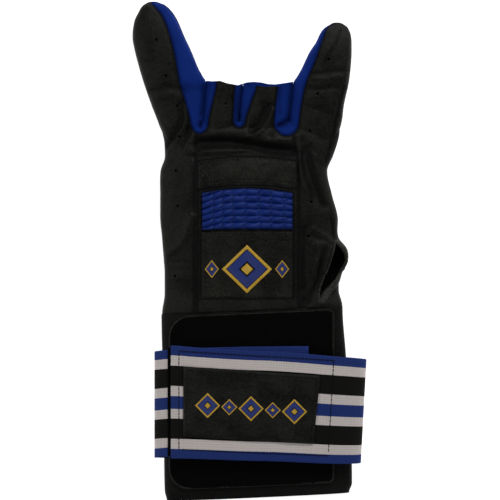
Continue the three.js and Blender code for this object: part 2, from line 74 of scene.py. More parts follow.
def spot(across, down):
    """The place on the table under one pixel of the photograph."""
    return photo_centre + Vector((across - 250, 250 - down, 0)) * photo_pixel


def table(names, rows):
    """Rows that are read by the names of their columns."""
    return [dict(zip(names, row)) for row in rows]


def spread(start, end, count):
    """Evenly spaced numbers, with both ends."""
    return [start + (end - start) * i / count for i in range(count + 1)]


def limited(value, low=0.0, high=1.0):
    """The value, kept between two limits."""
    return min(max(value, low), high)


def bell(share):
    """1 at nought, falling smoothly to almost nothing at 2 on either side."""
    return math.exp(-(share**2))


def read(rows, key, place, column):
    """A smooth curve through the rows of a table, level where the values turn."""
    places = [row[key] for row in rows]
    values = [row[column] for row in rows]
    last = len(rows) - 1
    i = limited(sum(place >= at for at in places) - 1, 0, last - 1)

    def slope(n):
        before, after = max(n - 1, 0), min(n + 1, last)
        rise, drop = values[n] - values[before], values[after] - values[n]
        return (rise + drop) / (places[after] - places[before]) if rise * drop > 0 else 0.0

    length = places[i + 1] - places[i]
    t = limited((place - places[i]) / length)
    held = 1 - 3 * t**2 + 2 * t**3
    bend = slope(i) * t * (1 - t) ** 2 + slope(i + 1) * t**2 * (t - 1)
    return held * values[i] + (1 - held) * values[i + 1] + bend * length


print("the middle of the photograph is at", [round(v * 1000, 2) for v in spot(250, 250)], "mm")

# %% [markdown]
# ## The forms of the hand, the fingers and the cuff
# Each form is a tube through rounded sections. A row of a table holds one section as shares of
# the form's own width and depth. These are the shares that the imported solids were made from, apart
# from the wrist's row and the edges beside the stalls, which lie up to 1.4 mm off the solids' own.

# %% Sections of the hand and the cuff
hand_width = 108 * mm
hand_length = 113 * mm
hand_depth = 20 * mm
finger_depth = 15 * mm
cuff_width = 111 * mm
cuff_length = 112 * mm
cuff_depth = 18 * mm
cuff_slant = 5 * mm
cuff_low = 2.4 * mm
leather_wall = 1.6 * mm
seam_height = 4.6 * mm
roundness = 2.6
flatness = 1.14
middle_x = 1.114 * mm
cuff_end_y = -147.532 * mm
wrist_y = cuff_end_y + cuff_length
web_y = wrist_y + hand_length

hand_rows = table(["along", "left", "right", "low", "high"], [
    [0.00, -0.489, 0.514, 0.12, 1.02],
    [0.10, -0.475, 0.494, 0.04, 0.95],
    [0.19, -0.475, 0.502, 0.00, 1.00],
    [0.27, -0.480, 0.540, 0.00, 1.00],
    [0.33, -0.485, 0.538, 0.00, 1.00],
    [0.39, -0.490, 0.492, 0.00, 1.00],
    [0.50, -0.500, 0.488, 0.00, 1.00],
    [0.62, -0.500, 0.455, 0.00, 1.00],
    [0.74, -0.498, 0.430, 0.00, 0.97],
    [0.82, -0.474, 0.462, 0.00, 0.90],
    [0.90, -0.478, 0.490, 0.00, 0.82],
    [0.96, -0.490, 0.500, 0.04, 0.74],
    [1.00, -0.488, 0.495, 0.15, 0.58],
])
cuff_rows = table(["along", "left", "right", "low", "high"], [
    [0.00, -0.450, 0.536, 0.06, 0.90],
    [0.05, -0.461, 0.552, 0.02, 0.96],
    [0.25, -0.465, 0.549, 0.00, 1.00],
    [0.50, -0.469, 0.537, 0.00, 1.00],
    [0.75, -0.474, 0.518, 0.00, 1.00],
    [1.00, -0.479, 0.501, 0.00, 1.00],
])


def section(rows, along, y, width, depth, low=0.0, slant=0.0):
    """One section of a form, in metres."""
    return {
        "y": y,
        "left": middle_x + read(rows, "along", along, "left") * width,
        "right": middle_x + read(rows, "along", along, "right") * width,
        "low": low + read(rows, "along", along, "low") * depth,
        "high": low + read(rows, "along", along, "high") * depth,
        "slant": slant,
    }


def hand_section(along):
    slant = cuff_slant * max(0.0, 1 - along / 0.19)
    return section(hand_rows, along, wrist_y + along * hand_length, hand_width, hand_depth, 0.0, slant)


def cuff_section(along):
    y = cuff_end_y + along * cuff_length
    return section(cuff_rows, along, y, cuff_width, cuff_depth, cuff_low, cuff_slant)


# %% Sections of the fingers
finger_columns = ["along", "left", "right", "low", "high", "strip_left", "strip_right"]
stall_length = 23.5 * mm
touch = 0.35 * mm
touch_reach = 26 * mm


def finger_form(name, length, closed, rows):
    """One finger: its sections, its length above the web, and whether its tip is closed."""
    return {"name": name, "length": length, "closed": closed, "rows": table(finger_columns, rows)}


long_finger = finger_form("long finger", 72.3 * mm, True, [
    [-0.236, -0.460, -0.275, 0.10, 0.90, -0.70, -0.325],
    [0.00, -0.512, -0.264, 0.00, 1.00, -0.70, -0.331],
    [0.147, -0.550, -0.254, 0.00, 1.00, -0.70, -0.356],
    [0.314, -0.589, -0.245, 0.00, 1.00, -0.70, -0.389],
    [0.452, -0.617, -0.292, 0.00, 1.00, -0.70, -0.406],
    [0.589, -0.641, -0.330, 0.00, 0.98, -0.70, -0.423],
    [0.717, -0.655, -0.372, 0.00, 0.93, -0.70, -0.446],
    [0.844, -0.645, -0.411, 0.03, 0.84, -0.70, -0.476],
    [0.913, -0.624, -0.440, 0.10, 0.73, -0.70, -0.503],
    [0.957, -0.608, -0.467, 0.17, 0.64, -0.70, -0.530],
    [0.982, -0.593, -0.487, 0.23, 0.56, -0.70, -0.545],
    [1.00, -0.572, -0.508, 0.32, 0.47, -0.70, -0.555],
])
first_stall = finger_form("first stall", stall_length, False, [
    [-0.70, -0.245, -0.075, 0.10, 0.90, -0.235, -0.093],
    [0.00, -0.260, -0.066, 0.00, 0.98, -0.231, -0.092],
    [0.50, -0.250, -0.056, 0.00, 1.00, -0.208, -0.089],
    [1.00, -0.241, -0.044, 0.00, 1.00, -0.186, -0.083],
])
second_stall = finger_form("second stall", stall_length, False, [
    [-0.70, -0.040, 0.185, 0.10, 0.90, -0.034, 0.131],
    [0.00, -0.062, 0.212, 0.00, 0.98, -0.028, 0.133],
    [0.50, -0.052, 0.229, 0.00, 1.00, 0.006, 0.144],
    [1.00, -0.040, 0.237, 0.00, 1.00, 0.039, 0.156],
])
short_finger = finger_form("short finger", 59.7 * mm, True, [
    [-0.282, 0.235, 0.470, 0.10, 0.90, 0.262, 0.70],
    [0.00, 0.214, 0.511, 0.00, 1.00, 0.272, 0.70],
    [0.185, 0.230, 0.525, 0.00, 1.00, 0.286, 0.70],
    [0.389, 0.243, 0.550, 0.00, 1.00, 0.311, 0.70],
    [0.544, 0.289, 0.561, 0.00, 0.98, 0.347, 0.70],
    [0.709, 0.333, 0.567, 0.00, 0.93, 0.381, 0.70],
    [0.806, 0.369, 0.567, 0.03, 0.86, 0.400, 0.70],
    [0.894, 0.392, 0.561, 0.10, 0.74, 0.417, 0.70],
    [0.942, 0.410, 0.550, 0.18, 0.63, 0.428, 0.70],
    [0.975, 0.432, 0.538, 0.25, 0.54, 0.444, 0.70],
    [1.00, 0.456, 0.514, 0.32, 0.47, 0.465, 0.70],
])
fingers = [long_finger, first_stall, second_stall, short_finger]


def finger_section(finger, along):
    """One section of a finger. Near the web its cloth swells until it touches the next finger."""
    y = web_y + along * finger["length"]
    shape = section(finger["rows"], along, y, hand_width, finger_depth)
    if y < web_y + touch_reach:
        shape["right"] += touch if finger is not short_finger else 0.0
        shape["left"] -= touch if finger is not long_finger else 0.0
    return shape


def tip_sections(finger):
    """Two small sections that round off a closed tip."""
    last = finger_section(finger, 1.0)
    tips = []
    for beyond, share in [(0.35 * mm, 0.70), (0.55 * mm, 0.35)]:
        tip = {**last, "y": last["y"] + beyond}
        for low, high in [("left", "right"), ("low", "high")]:
            middle = (last[low] + last[high]) / 2
            half = (last[high] - last[low]) / 2 * share
            tip[low], tip[high] = middle - half, middle + half
        tips.append(tip)
    return tips


print(len(fingers), "fingers, the longest", long_finger["length"] * 1000, "mm")

# %% [markdown]
# ## Folds
# Soft leather folds where the hand bends. Each fold is a bent line on the photograph with a width
# and a depth, and the surface sinks towards it as a bell curve does. A fold with a depth below zero
# stands up as a ridge, and one that is steep falls quickly on the side of the fingers. Slow noise
# bends the lines, so no fold is ruler-straight.

# %% The folds of the back of the hand
fold_fade = 2.6
fold_wander = 0.7 * mm
fold_wander_scale = 90
folds = table(["line", "width", "depth", "steep"], [
    # the deep fold below the stalls, the low ridge under it and the groove above the knuckles
    [[(202, 142.5), (228, 142.0), (246, 144.5), (262, 147), (290, 150.5)], 6.2, 4.4, 0.75],
    [[(203, 151), (245, 151), (261, 153)], 2.0, -1.2, 1],
    [[(200, 156.5), (225, 156), (247, 153.5), (262, 153)], 1.9, 0.8, 1],
    [[(268, 140), (290, 140.5)], 2.4, -0.6, 1],
    [[(273, 130), (270, 136)], 1.8, 0.8, 1],
    # pits in the webs, dark from their depth and from painted shade, and the lines where the cloth walls
    # meet
    [[(200.8, 123), (201, 126.5)], 1.5, 2.8, 1],
    [[(238.7, 116), (238.3, 119.5)], 1.7, 2.8, 1],
    [[(279.5, 125), (284, 123.5), (288, 119.5)], 2.0, 2.8, 1],
    [[(204.5, 86), (203, 100), (201, 116)], 1.8, 1.5, 1],
    [[(241.5, 86), (240, 100), (238.6, 114)], 1.8, 1.3, 1],
    [[(292, 85), (290.3, 100), (288.6, 117)], 1.8, 1.3, 1],
    [[(237, 88), (236.5, 112)], 2.2, 0.5, 1],
    [[(279.5, 88), (279.5, 114)], 2.4, 0.7, 1],
    # down from the short finger's web, beside the knuckles
    [[(303, 141), (303.5, 152)], 3.2, 1.0, 1],
    [[(303, 156), (305, 178), (312, 200)], 2.2, 1.6, 1],
    [[(299.5, 157), (302, 176), (308, 192), (313, 201)], 1.6, -0.8, 1],
    [[(308, 148), (311.5, 166), (316, 184), (324, 205)], 3.4, 2.6, 1],
    [[(307, 146), (313, 156), (318, 171)], 2.0, -1.0, 1],
    [[(309, 143), (315, 152)], 1.2, 0.6, 1],
    [[(326, 150), (322, 175), (327, 205)], 2.6, -0.4, 1],
    # from the long finger's root to the edge of the hand
    [[(181, 104), (182, 118), (178, 133), (167, 148)], 3.0, 1.8, 1],
    [[(184.5, 107), (185.5, 116), (184, 126), (177, 138), (168, 151)], 2.3, -1.3, 1],
    [[(190, 128), (186, 138), (181, 146)], 2.2, 1.4, 1],
    [[(193, 134), (190, 142), (184, 152)], 2.2, -0.8, 1],
    [[(188, 156), (195, 157)], 2.0, 0.9, 1],
    # the side of the hand
    [[(192, 218), (187, 232), (178, 245), (166, 254)], 4.2, -1.6, 1],
    [[(184, 234), (176, 243), (166, 249)], 2.2, 0.7, 1],
    [[(186, 216), (196, 217.5)], 1.5, -0.4, 1],
    [[(168, 262), (192, 261)], 1.4, 0.35, 1],
    [[(168, 271), (190, 269)], 1.4, 0.30, 1],
    [[(170, 283), (192, 282)], 1.4, 0.30, 1],
    # the long finger
    [[(151, 90), (168, 87), (185, 91)], 2.8, 0.8, 1],
    [[(155, 97), (172, 95)], 2.8, -0.4, 1],
    [[(148, 75), (168, 48)], 1.2, -0.25, 1],
    [[(142, 60), (170, 66)], 2.2, 0.25, 1],
    [[(184, 86), (203, 89)], 2.2, 0.35, 1],
    # the short finger
    [[(341, 31), (330, 54), (322, 68)], 1.6, 0.7, 1],
    [[(312, 74), (324, 73), (350, 71)], 2.4, 0.7, 1],
    [[(308, 79), (324, 79), (346, 77)], 2.0, -0.3, 1],
    [[(306, 90), (322, 89), (346, 87)], 2.4, 0.6, 1],
    [[(310, 84.5), (320, 84.5)], 1.5, -0.3, 1],
    [[(312, 108), (338, 118)], 3.0, 0.4, 1],
    [[(326, 100), (318, 124)], 2.4, 0.4, 1],
    # above and beside the thumb opening
    [[(331, 220), (333.5, 240)], 1.8, 1.6, 1],
    [[(313, 229), (326, 236), (334, 241)], 2.1, -1.0, 1],
    [[(312, 236), (326, 241)], 1.9, 1.0, 1],
    [[(318, 245), (327, 241), (333, 243)], 1.7, -0.7, 1],
    [[(325, 250), (320, 275), (307, 302)], 3.0, 1.8, 1],
    [[(332, 248), (326, 272)], 1.8, -0.9, 1],
    [[(317, 262), (312, 286)], 2.2, -0.8, 1],
    [[(304, 228), (303.5, 308)], 2.8, 1.5, 1],
    # the stalls
    [[(267, 107), (261, 121), (251, 131)], 3.2, 1.6, 1],
    [[(273, 110), (268, 123), (258, 133), (249, 137)], 2.3, -1.2, 1],
    [[(222, 92), (216, 130)], 2.6, 0.3, 1],
])
for fold in folds:
    points = [spot(*place) for place in fold["line"]]
    fold["legs"] = [(start, end - start) for start, end in zip(points, points[1:])]
    fold["reach"] = fold["width"] * photo_pixel
    edge = fold_fade * fold["reach"]
    fold["left"] = min(point.x for point in points) - edge
    fold["right"] = max(point.x for point in points) + edge
    fold["bottom"] = min(point.y for point in points) - edge
    fold["top"] = max(point.y for point in points) + edge


def one_fold(fold, place):
    """How far one fold lowers the surface at a place, in metres."""
    nearest, side = 1.0, 0.0
    for start, run in fold["legs"]:
        offset = place - start
        share = limited(offset.dot(run) / run.length_squared)
        away = (offset - run * share).length
        if away < nearest:
            nearest, side = away, run.x * offset.y - run.y * offset.x
    nearest /= fold["reach"] * (fold["steep"] if side > 0 else 1.0)
    return fold["depth"] * mm * bell(nearest)


def fold_depth(x, y):
    """How far the folds lower the surface at one place, in metres."""
    bend = noise.noise_vector(Vector((x, y, 0)) * fold_wander_scale) * fold_wander
    place = Vector((x + bend.x, y + bend.y, 0))
    depth = 0.0
    for fold in folds:
        if fold["left"] < place.x < fold["right"] and fold["bottom"] < place.y < fold["top"]:
            depth += one_fold(fold, place)
    return depth


print(len(folds), "folds")

# %% [markdown]
# ## Seams
# Where two pieces are sewn together the surface dips, because the thread pulls the edges down.
# The cloth walls between the fingers have curved outlines: down one leather strip, round the web
# and up the next strip. Those outlines, and the long seams beside the patch, are the seam lines.

# %% Outlines of the cloth walls
cloth_walls = [
    {"name": "fourchette_left", "before": long_finger, "after": first_stall, "reach": 0.062},
    {"name": "fourchette_middle", "before": first_stall, "after": second_stall, "reach": 0.027},
    {"name": "fourchette_right", "before": second_stall, "after": short_finger, "reach": 0.075},
]


def strip_edge(finger, column, steps):
    """The edge of a finger's leather strip, from the web to the tip."""
    points = []
    for along in spread(0.0, 1.0, steps):
        x = middle_x + read(finger["rows"], "along", along, column) * hand_width
        points.append(Vector((x, web_y + along * finger["length"], 0)))
    return points


def wall_outline(wall):
    """The plan of one cloth wall: two strip edges, the bend round the web, and a cap far above."""
    left = strip_edge(wall["before"], "strip_right", 30)
    right = strip_edge(wall["after"], "strip_left", 30)
    middle = (left[0] + right[0]) / 2
    half = (right[0].x - left[0].x) / 2
    bend = []
    for turn in spread(0, math.pi, 16)[1:-1]:
        drop = wall["reach"] * hand_length * math.sin(turn)
        bend.append(Vector((middle.x - half * math.cos(turn), web_y - drop, 0)))
    return list(reversed(left)) + bend + right


for wall in cloth_walls:
    wall["outline"] = wall_outline(wall)
print("points in each outline:", [len(wall["outline"]) for wall in cloth_walls])

# %% How the seams pull the surface down
seam_width = 0.95 * mm
seam_depth = 0.75 * mm
long_seams = [[spot(*place) for place in line] for line in [
    [(197, 135), (195.5, 158), (194.3, 176), (194.5, 311)],
    [(197.8, 192), (197.5, 311)],
    [(293.5, 137), (297, 160), (299.5, 185), (298.6, 200), (298.6, 311)],
    [(344, 86), (340, 100), (336, 118), (332, 138), (326.5, 158), (325, 166)],
]]


def along_line(line, step):
    """Points at an even step along a line of points."""
    points = []
    for start, end in zip(line, line[1:]):
        count = max(1, round((end - start).length / step))
        points += [start.lerp(end, i / count) for i in range(count)]
    return points + [line[-1]]


seam_points = []
for line in [wall["outline"] for wall in cloth_walls] + long_seams:
    seam_points += along_line(line, 0.5 * mm)
seam_tree = KDTree(len(seam_points))
for index, point in enumerate(seam_points):
    seam_tree.insert(point, index)
seam_tree.balance()


def seam_dip(x, y):
    """How far the nearest seam pulls the surface down, in metres."""
    away = seam_tree.find(Vector((x, y, 0)))[2] / seam_width
    return seam_depth * bell(away) if away < 3 else 0.0


print(len(seam_points), "seam points")

# %% [markdown]
# ## The skin of the hand
# A tube could be lofted ring by ring. Here a flat grid is rolled instead: every column of the grid
# becomes one line along the tube, and the two long edges meet and are merged. The points of a ring
# lie at even distances, so a fold is equally fine everywhere.

# %% Roll a grid into a tube
def rounded_box(turn):
    """How far across and up a section's edge lies at an angle, with the underside pressed flat."""
    c, s = math.cos(turn), math.sin(turn)
    across = math.copysign(abs(c) ** (2 / roundness), c)
    up = abs(s) ** (2 / roundness)
    return across, -min(1.0, up * flatness) if s < 0 else up


def ring(shape, sides, inset):
    """Evenly spaced points round one section, with a flat underside."""
    width = (shape["right"] - shape["left"]) / 2 - inset
    depth = (shape["high"] - shape["low"]) / 2 - inset
    centre_x = (shape["right"] + shape["left"]) / 2
    centre_z = (shape["high"] + shape["low"]) / 2
    fine = []
    for turn in spread(0, 2 * math.pi, 240):
        across, height = rounded_box(turn)
        x = centre_x + width * across
        y = shape["y"] + shape["slant"] * (x - middle_x) / cuff_width
        fine.append((x, y, centre_z + depth * height, max(height, 0.0)))
    lengths = [0.0]
    for here, there in zip(fine, fine[1:]):
        lengths.append(lengths[-1] + math.hypot(there[0] - here[0], there[2] - here[2]))
    points = []
    i = 0
    for i_side in range(sides):
        target = lengths[-1] * i_side / sides
        while lengths[i + 1] < target:
            i += 1
        share = (target - lengths[i]) / max(lengths[i + 1] - lengths[i], 1e-9)
        points.append([a + (b - a) * share for a, b in zip(fine[i], fine[i + 1])])
    return points


def grid(across, up, half=0.5):
    """A flat grid of faces round the origin."""
    shape = bmesh.new()
    bmesh.ops.create_grid(shape, x_segments=across, y_segments=up, size=half)
    return shape


def face_up(shape):
    """Turns the faces of a sheet the same way round, with their outer side up."""
    bmesh.ops.recalc_face_normals(shape, faces=shape.faces)
    if sum(face.normal.z for face in shape.faces) < 0:
        bmesh.ops.reverse_faces(shape, faces=shape.faces)


def tube(sections, sides, inset=0.0, lift=None):
    """A closed tube: a grid rolled through the sections, its long edges merged, its ends filled."""
    rings = [ring(shape, sides, inset) for shape in sections]
    rows = len(rings) - 1
    roll = grid(sides, rows)
    for vert in roll.verts:
        column = round((vert.co.x + 0.5) * sides) % sides
        row = round((vert.co.y + 0.5) * rows)
        x, y, z, top = rings[row][column]
        place = Vector((x, y, z))
        if lift:
            place = lift(place, top)
        vert.co = place
    bmesh.ops.remove_doubles(roll, verts=roll.verts, dist=1e-7)
    bmesh.ops.holes_fill(roll, edges=[edge for edge in roll.edges if edge.is_boundary], sides=0)
    bmesh.ops.recalc_face_normals(roll, faces=roll.faces)
    return roll


def make(name, shape, material=None):
    """An object from a bmesh, smooth-shaded, at the origin."""
    mesh = bpy.data.meshes.new(name)
    shape.to_mesh(mesh)
    shape.free()
    mesh.shade_smooth()
    made = bpy.data.objects.new(name, mesh)
    bpy.context.scene.collection.objects.link(made)
    if material:
        mesh.materials.append(material)
    return made


def settle(piece):
    """Makes a piece's modifiers part of its mesh."""
    bpy.context.view_layer.update()
    live = piece.evaluated_get(bpy.context.evaluated_depsgraph_get())
    mesh = bpy.data.meshes.new_from_object(live)
    old = piece.data
    piece.modifiers.clear()
    piece.data = mesh
    bpy.data.meshes.remove(old)


def add_wall(piece, thickness, offset=0):
    """Gives a sheet a thickness, on both sides of it or, with -1, all of it below."""
    wall = piece.modifiers.new("wall", "SOLIDIFY")
    wall.thickness = thickness
    wall.offset = offset


def soften(piece, width, degrees):
    """Rounds every edge that bends by more than an angle."""
    soft = piece.modifiers.new("soft edge", "BEVEL")
    soft.width = width
    soft.segments = 2
    soft.limit_method = "ANGLE"
    soft.angle_limit = math.radians(degrees)


def dress(piece, material):
    """Gives a piece one material and no other."""
    piece.data.materials.clear()
    piece.data.materials.append(material)


def skin_of(piece):
    """The surface of a piece, for looking up its heights."""
    return BVHTree.FromObject(piece, bpy.context.evaluated_depsgraph_get())


def longer(sections, by):
    """The same sections with the first and the last moved outwards."""
    first = {**sections[0], "y": sections[0]["y"] - by}
    last = {**sections[-1], "y": sections[-1]["y"] + by}
    return [first, *sections[1:-1], last]


def carve(piece, tool, operation="DIFFERENCE", keep_tool=False):
    """Joins, cuts or intersects a piece with a tool, and puts the tool away."""
    cut = piece.modifiers.new("carve", "BOOLEAN")
    cut.operation = operation
    cut.object = tool
    cut.solver = "MANIFOLD"
    settle(piece)
    if not keep_tool:
        bpy.data.objects.remove(tool)


def prism(outline, low, high):
    """A tool with this plan outline, between two heights."""
    shape = bmesh.new()
    face = shape.faces.new([shape.verts.new((point.x, point.y, low)) for point in outline])
    raised = bmesh.ops.extrude_face_region(shape, geom=[face])["geom"]
    tops = [part for part in raised if isinstance(part, bmesh.types.BMVert)]
    bmesh.ops.translate(shape, verts=tops, vec=(0, 0, high - low))
    bmesh.ops.recalc_face_normals(shape, faces=shape.faces)
    return make("prism", shape)


# %% How the skin moves away from its plain sections
panel_sink = 0.8 * mm
panel_edge_width = 0.8 * mm
panel_rows = table(["name", "left", "right", "bottom", "top", "below", "arch"], [
    ["knuckle_panel", -0.292, 0.268, 0.636, 0.790, 0.024, 0.024],
    ["flex_panel", -0.266, 0.236, 0.428, 0.622, 0.002, 0.024],
    ["back_patch", -0.272, 0.242, 0.060, 0.420, 0.0, 0.0],
])
panel_shapes = {shape["name"]: shape for shape in panel_rows}


def panel_ends(shape, across):
    """The heights of a panel's bottom and top edge at a share of its width, in shares of the hand."""
    bow = math.sin(math.pi * limited(across))
    return shape["bottom"] + shape["below"] * bow, shape["top"] + shape["arch"] * bow


def panel_place(shape, across, up):
    """A place on a panel, from shares of its width and height."""
    low, high = panel_ends(shape, across)
    x = shape["left"] + (shape["right"] - shape["left"]) * across
    y = low + (high - low) * up
    return Vector((middle_x + x * hand_width, wrist_y + y * hand_length, 0))


def panel_share(shape, x):
    """How far across a panel a place lies, as a share of its width."""
    return ((x - middle_x) / hand_width - shape["left"]) / (shape["right"] - shape["left"])


def panel_edge(shape, x, y):
    """How far inside a panel's outline a place lies, in metres. Outside it is below zero."""
    across = panel_share(shape, x)
    low, high = panel_ends(shape, across)
    share = (y - wrist_y) / hand_length
    width = (shape["right"] - shape["left"]) * hand_width
    up, down = (share - low) * hand_length, (high - share) * hand_length
    return min(across * width, (1 - across) * width, up, down)


def under_panel(x, y):
    """1 well inside a panel's outline, 0 outside it."""
    inside = max(panel_edge(shape, x, y) for shape in panel_shapes.values())
    return limited(inside / panel_edge_width)


# Painted shading: these values darken the colour as painted shade in folds, seams and along panel edges,
# and lighten it as a painted highlight on ridges.
deep_fold = 1.2 * mm
fold_shade, ridge_highlight, seam_shade, edge_shade = 0.85, 0.6, 1.1, 0.8
darkest_painted_shading = 1.2


def painted_shading_at(x, y):
    """How much painted shade a place gets from the seams, folds and panel edges near it. On a ridge it is
    below zero: a painted highlight.
    """
    fold = fold_depth(x, y) / deep_fold
    fold = fold_shade * (1 - math.exp(-fold)) if fold > 0 else ridge_highlight * fold
    seam = seam_dip(x, y) / seam_depth
    edge = min(abs(panel_edge(shape, x, y)) for shape in panel_shapes.values())
    return min(fold + seam_shade * seam + edge_shade * bell(edge / panel_edge_width), darkest_painted_shading)


def wrinkle(place, reach, size):
    """Slow noise, the same every time."""
    return noise.noise(place * (1 / reach)) * size


def drape_inside(place, top):
    """The folds alone, for the inner side of the wall."""
    if not top:
        return place
    drop = fold_depth(place.x, place.y) + panel_sink * under_panel(place.x, place.y)
    return place - Vector((0, 0, drop * top))


ledge_from = 0.30
ledge_widens_from = 0.6
ledge_width, ledge_at_tip = 0.5 * mm, 1.2 * mm
ledge_side = 0.6


def palm_ledge(place):
    """The palm leather stands out past the cloth along the inner side of the longer finger."""
    along = (place.y - web_y) / long_finger["length"]
    if along < ledge_from or place.x > middle_x or place.z > seam_height + 0.2 * mm:
        return 0.0
    shape = finger_section(long_finger, along)
    if (place.x - shape["left"]) / (shape["right"] - shape["left"]) <= ledge_side:
        return 0.0
    nearer_tip = max(0.0, along - ledge_widens_from) / (1 - ledge_widens_from)
    return ledge_width + (ledge_at_tip - ledge_width) * nearer_tip


side_seam_width = 0.9 * mm
side_seam_depth = 0.4 * mm
side_seam_from = 30 * mm


def drape_outside(place, top):
    """Folds, dips at the seams, room for the panels, and the small unevenness of soft leather."""
    drop = wrinkle(place, 11 * mm, 0.35 * mm) + wrinkle(place, 3.5 * mm, 0.14 * mm)
    if top:
        drop += fold_depth(place.x, place.y) + seam_dip(place.x, place.y)
        drop += panel_sink * under_panel(place.x, place.y)
    side = bell((place.z - seam_height) / side_seam_width) * side_seam_depth * (1 - top)
    far_out = top < 0.9 and abs(place.x - middle_x) > side_seam_from
    inwards = math.copysign(side, middle_x - place.x) if far_out else 0.0
    moved = place.x + inwards + palm_ledge(place)
    return Vector((moved, place.y, max(place.z - drop * max(top, 0.0), 0.0)))


# %% Hand and fingers become one skin
def finger_places(finger, step):
    """Shares along a finger from its root in the hand to its tip."""
    root = finger["rows"][0]["along"]
    return spread(root, 1.0, round((1 - root) * finger["length"] / step))


def joined_tubes(step, inset, lift, sizes, past_end):
    """The hand's tube joined with the tubes of its fingers."""
    hand_sides, finger_sides = sizes
    places = spread(0, 1, round(hand_length / step))
    if inset:
        places = [along for along in places if along < 1 - 2 * inset / hand_length]
        places.append(1 - inset / hand_length)
    sections = [hand_section(along) for along in places]
    if inset:
        sections.insert(0, {**sections[0], "y": sections[0]["y"] - 3 * inset})
    skin = make("hand skin", tube(sections, hand_sides, inset, lift))
    for finger in fingers:
        places = finger_places(finger, step)
        if inset and finger["closed"]:
            places = [along for along in places if along < 1 - 2 * inset / finger["length"]]
            places.append(1 - inset / finger["length"])
        if not finger["closed"]:
            places.append(1 + past_end / finger["length"])
        sections = [finger_section(finger, along) for along in places]
        if finger["closed"] and not inset:
            sections += tip_sections(finger)
        carve(skin, make(finger["name"], tube(sections, finger_sides, inset, lift)), "UNION")
    return skin


fine_step = 0.95 * mm
fine_sides = ((240, 84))
rim_reach = 2 * mm
shell = joined_tubes(fine_step, 0.0, drape_outside, fine_sides, rim_reach)
outer_skin = skin_of(shell)
hollow = joined_tubes(2.4 * mm, leather_wall, drape_inside, (90, 36), rim_reach + leather_wall)
carve(shell, hollow)
print("shell:", len(shell.data.polygons), "faces")

# %% [markdown]
# ## Finishes
# A finish is a small sum: noise and waves are added and multiplied, and the result steers colour,
# roughness and bump. One class lets Python's own signs write those sums on sockets.

# %% Sums on sockets
class Signal:
    """A socket that Python arithmetic works on. Each sign adds one Math node."""

    def __init__(self, finish, socket):
        self.finish = finish
        self.socket = socket

    def calculate(self, operation, *others):
        inputs = dict(enumerate((self, *others)))
        return self.finish.node("ShaderNodeMath", {"operation": operation}, inputs)

    def __add__(self, other):
        return self.calculate("ADD", other)

    def __mul__(self, other):
        return self.calculate("MULTIPLY", other)

    def __sub__(self, other):
        return self.calculate("SUBTRACT", other)

    def __rsub__(self, other):
        return self.finish.node("ShaderNodeMath", {"operation": "SUBTRACT"}, {0: other, 1: self})

    __radd__ = __add__
    __rmul__ = __mul__

    def wave(self):
        return self.calculate("SINE")


class Finish:
    """A material in the making, with one method that adds any node."""

    def __init__(self, name):
        self.material = bpy.data.materials.new(name)
        self.material.use_nodes = True
        self.tree = self.material.node_tree
        self.tree.nodes.clear()

    def node(self, kind, settings=None, inputs=None, output=0):
        made = self.tree.nodes.new(kind)
        for name, value in (settings or {}).items():
            if name != "stops":
                setattr(made, name, value)
                continue
            ramp = made.color_ramp
            ramp.interpolation = "CONSTANT"
            ramp.elements.remove(ramp.elements[1])
            ramp.elements[0].color = (*value[0][1], 1)
            for position, colour in value[1:]:
                ramp.elements.new(position).color = (*colour, 1)
        for name, value in (inputs or {}).items():
            if isinstance(value, Signal):
                self.tree.links.new(value.socket, made.inputs[name])
            else:
                made.inputs[name].default_value = value
        return Signal(self, made.outputs[output]) if len(made.outputs) else made

    def place(self):
        return self.node("ShaderNodeTexCoord", output="Object")

    def axes(self, place):
        return [self.node("ShaderNodeSeparateXYZ", inputs={"Vector": place}, output=axis) for axis in "XYZ"]

    def noise(self, place, scale, detail=2.0):
        return self.node("ShaderNodeTexNoise", inputs={"Vector": place, "Scale": scale, "Detail": detail})

    def cells(self, place, scale, feature="F1"):
        inputs = {"Vector": place, "Scale": scale}
        return self.node("ShaderNodeTexVoronoi", {"feature": feature}, inputs, "Distance")

    def between(self, value, low, high):
        """0 below low, 1 above high."""
        inputs = {"Value": value, "From Min": low, "From Max": high}
        return self.node("ShaderNodeMapRange", {"interpolation_type": "SMOOTHSTEP"}, inputs)

    def mix(self, share, low, high):
        low, high = (side if isinstance(side, Signal) else (*side, 1) for side in (low, high))
        return self.node("ShaderNodeMix", {"data_type": "RGBA"}, {0: share, 6: low, 7: high}, 2)

    def bump(self, height, strength, distance):
        inputs = {"Strength": strength, "Distance": distance, "Height": height}
        return self.node("ShaderNodeBump", inputs=inputs)

    def attribute(self, name):
        return self.node("ShaderNodeAttribute", {"attribute_name": name}, output="Fac")

    def surface(self, **inputs):
        values = {name.replace("_", " "): value for name, value in inputs.items()}
        shader = self.node("ShaderNodeBsdfPrincipled", inputs=values)
        self.node("ShaderNodeOutputMaterial", inputs={"Surface": shader})
        return self.material


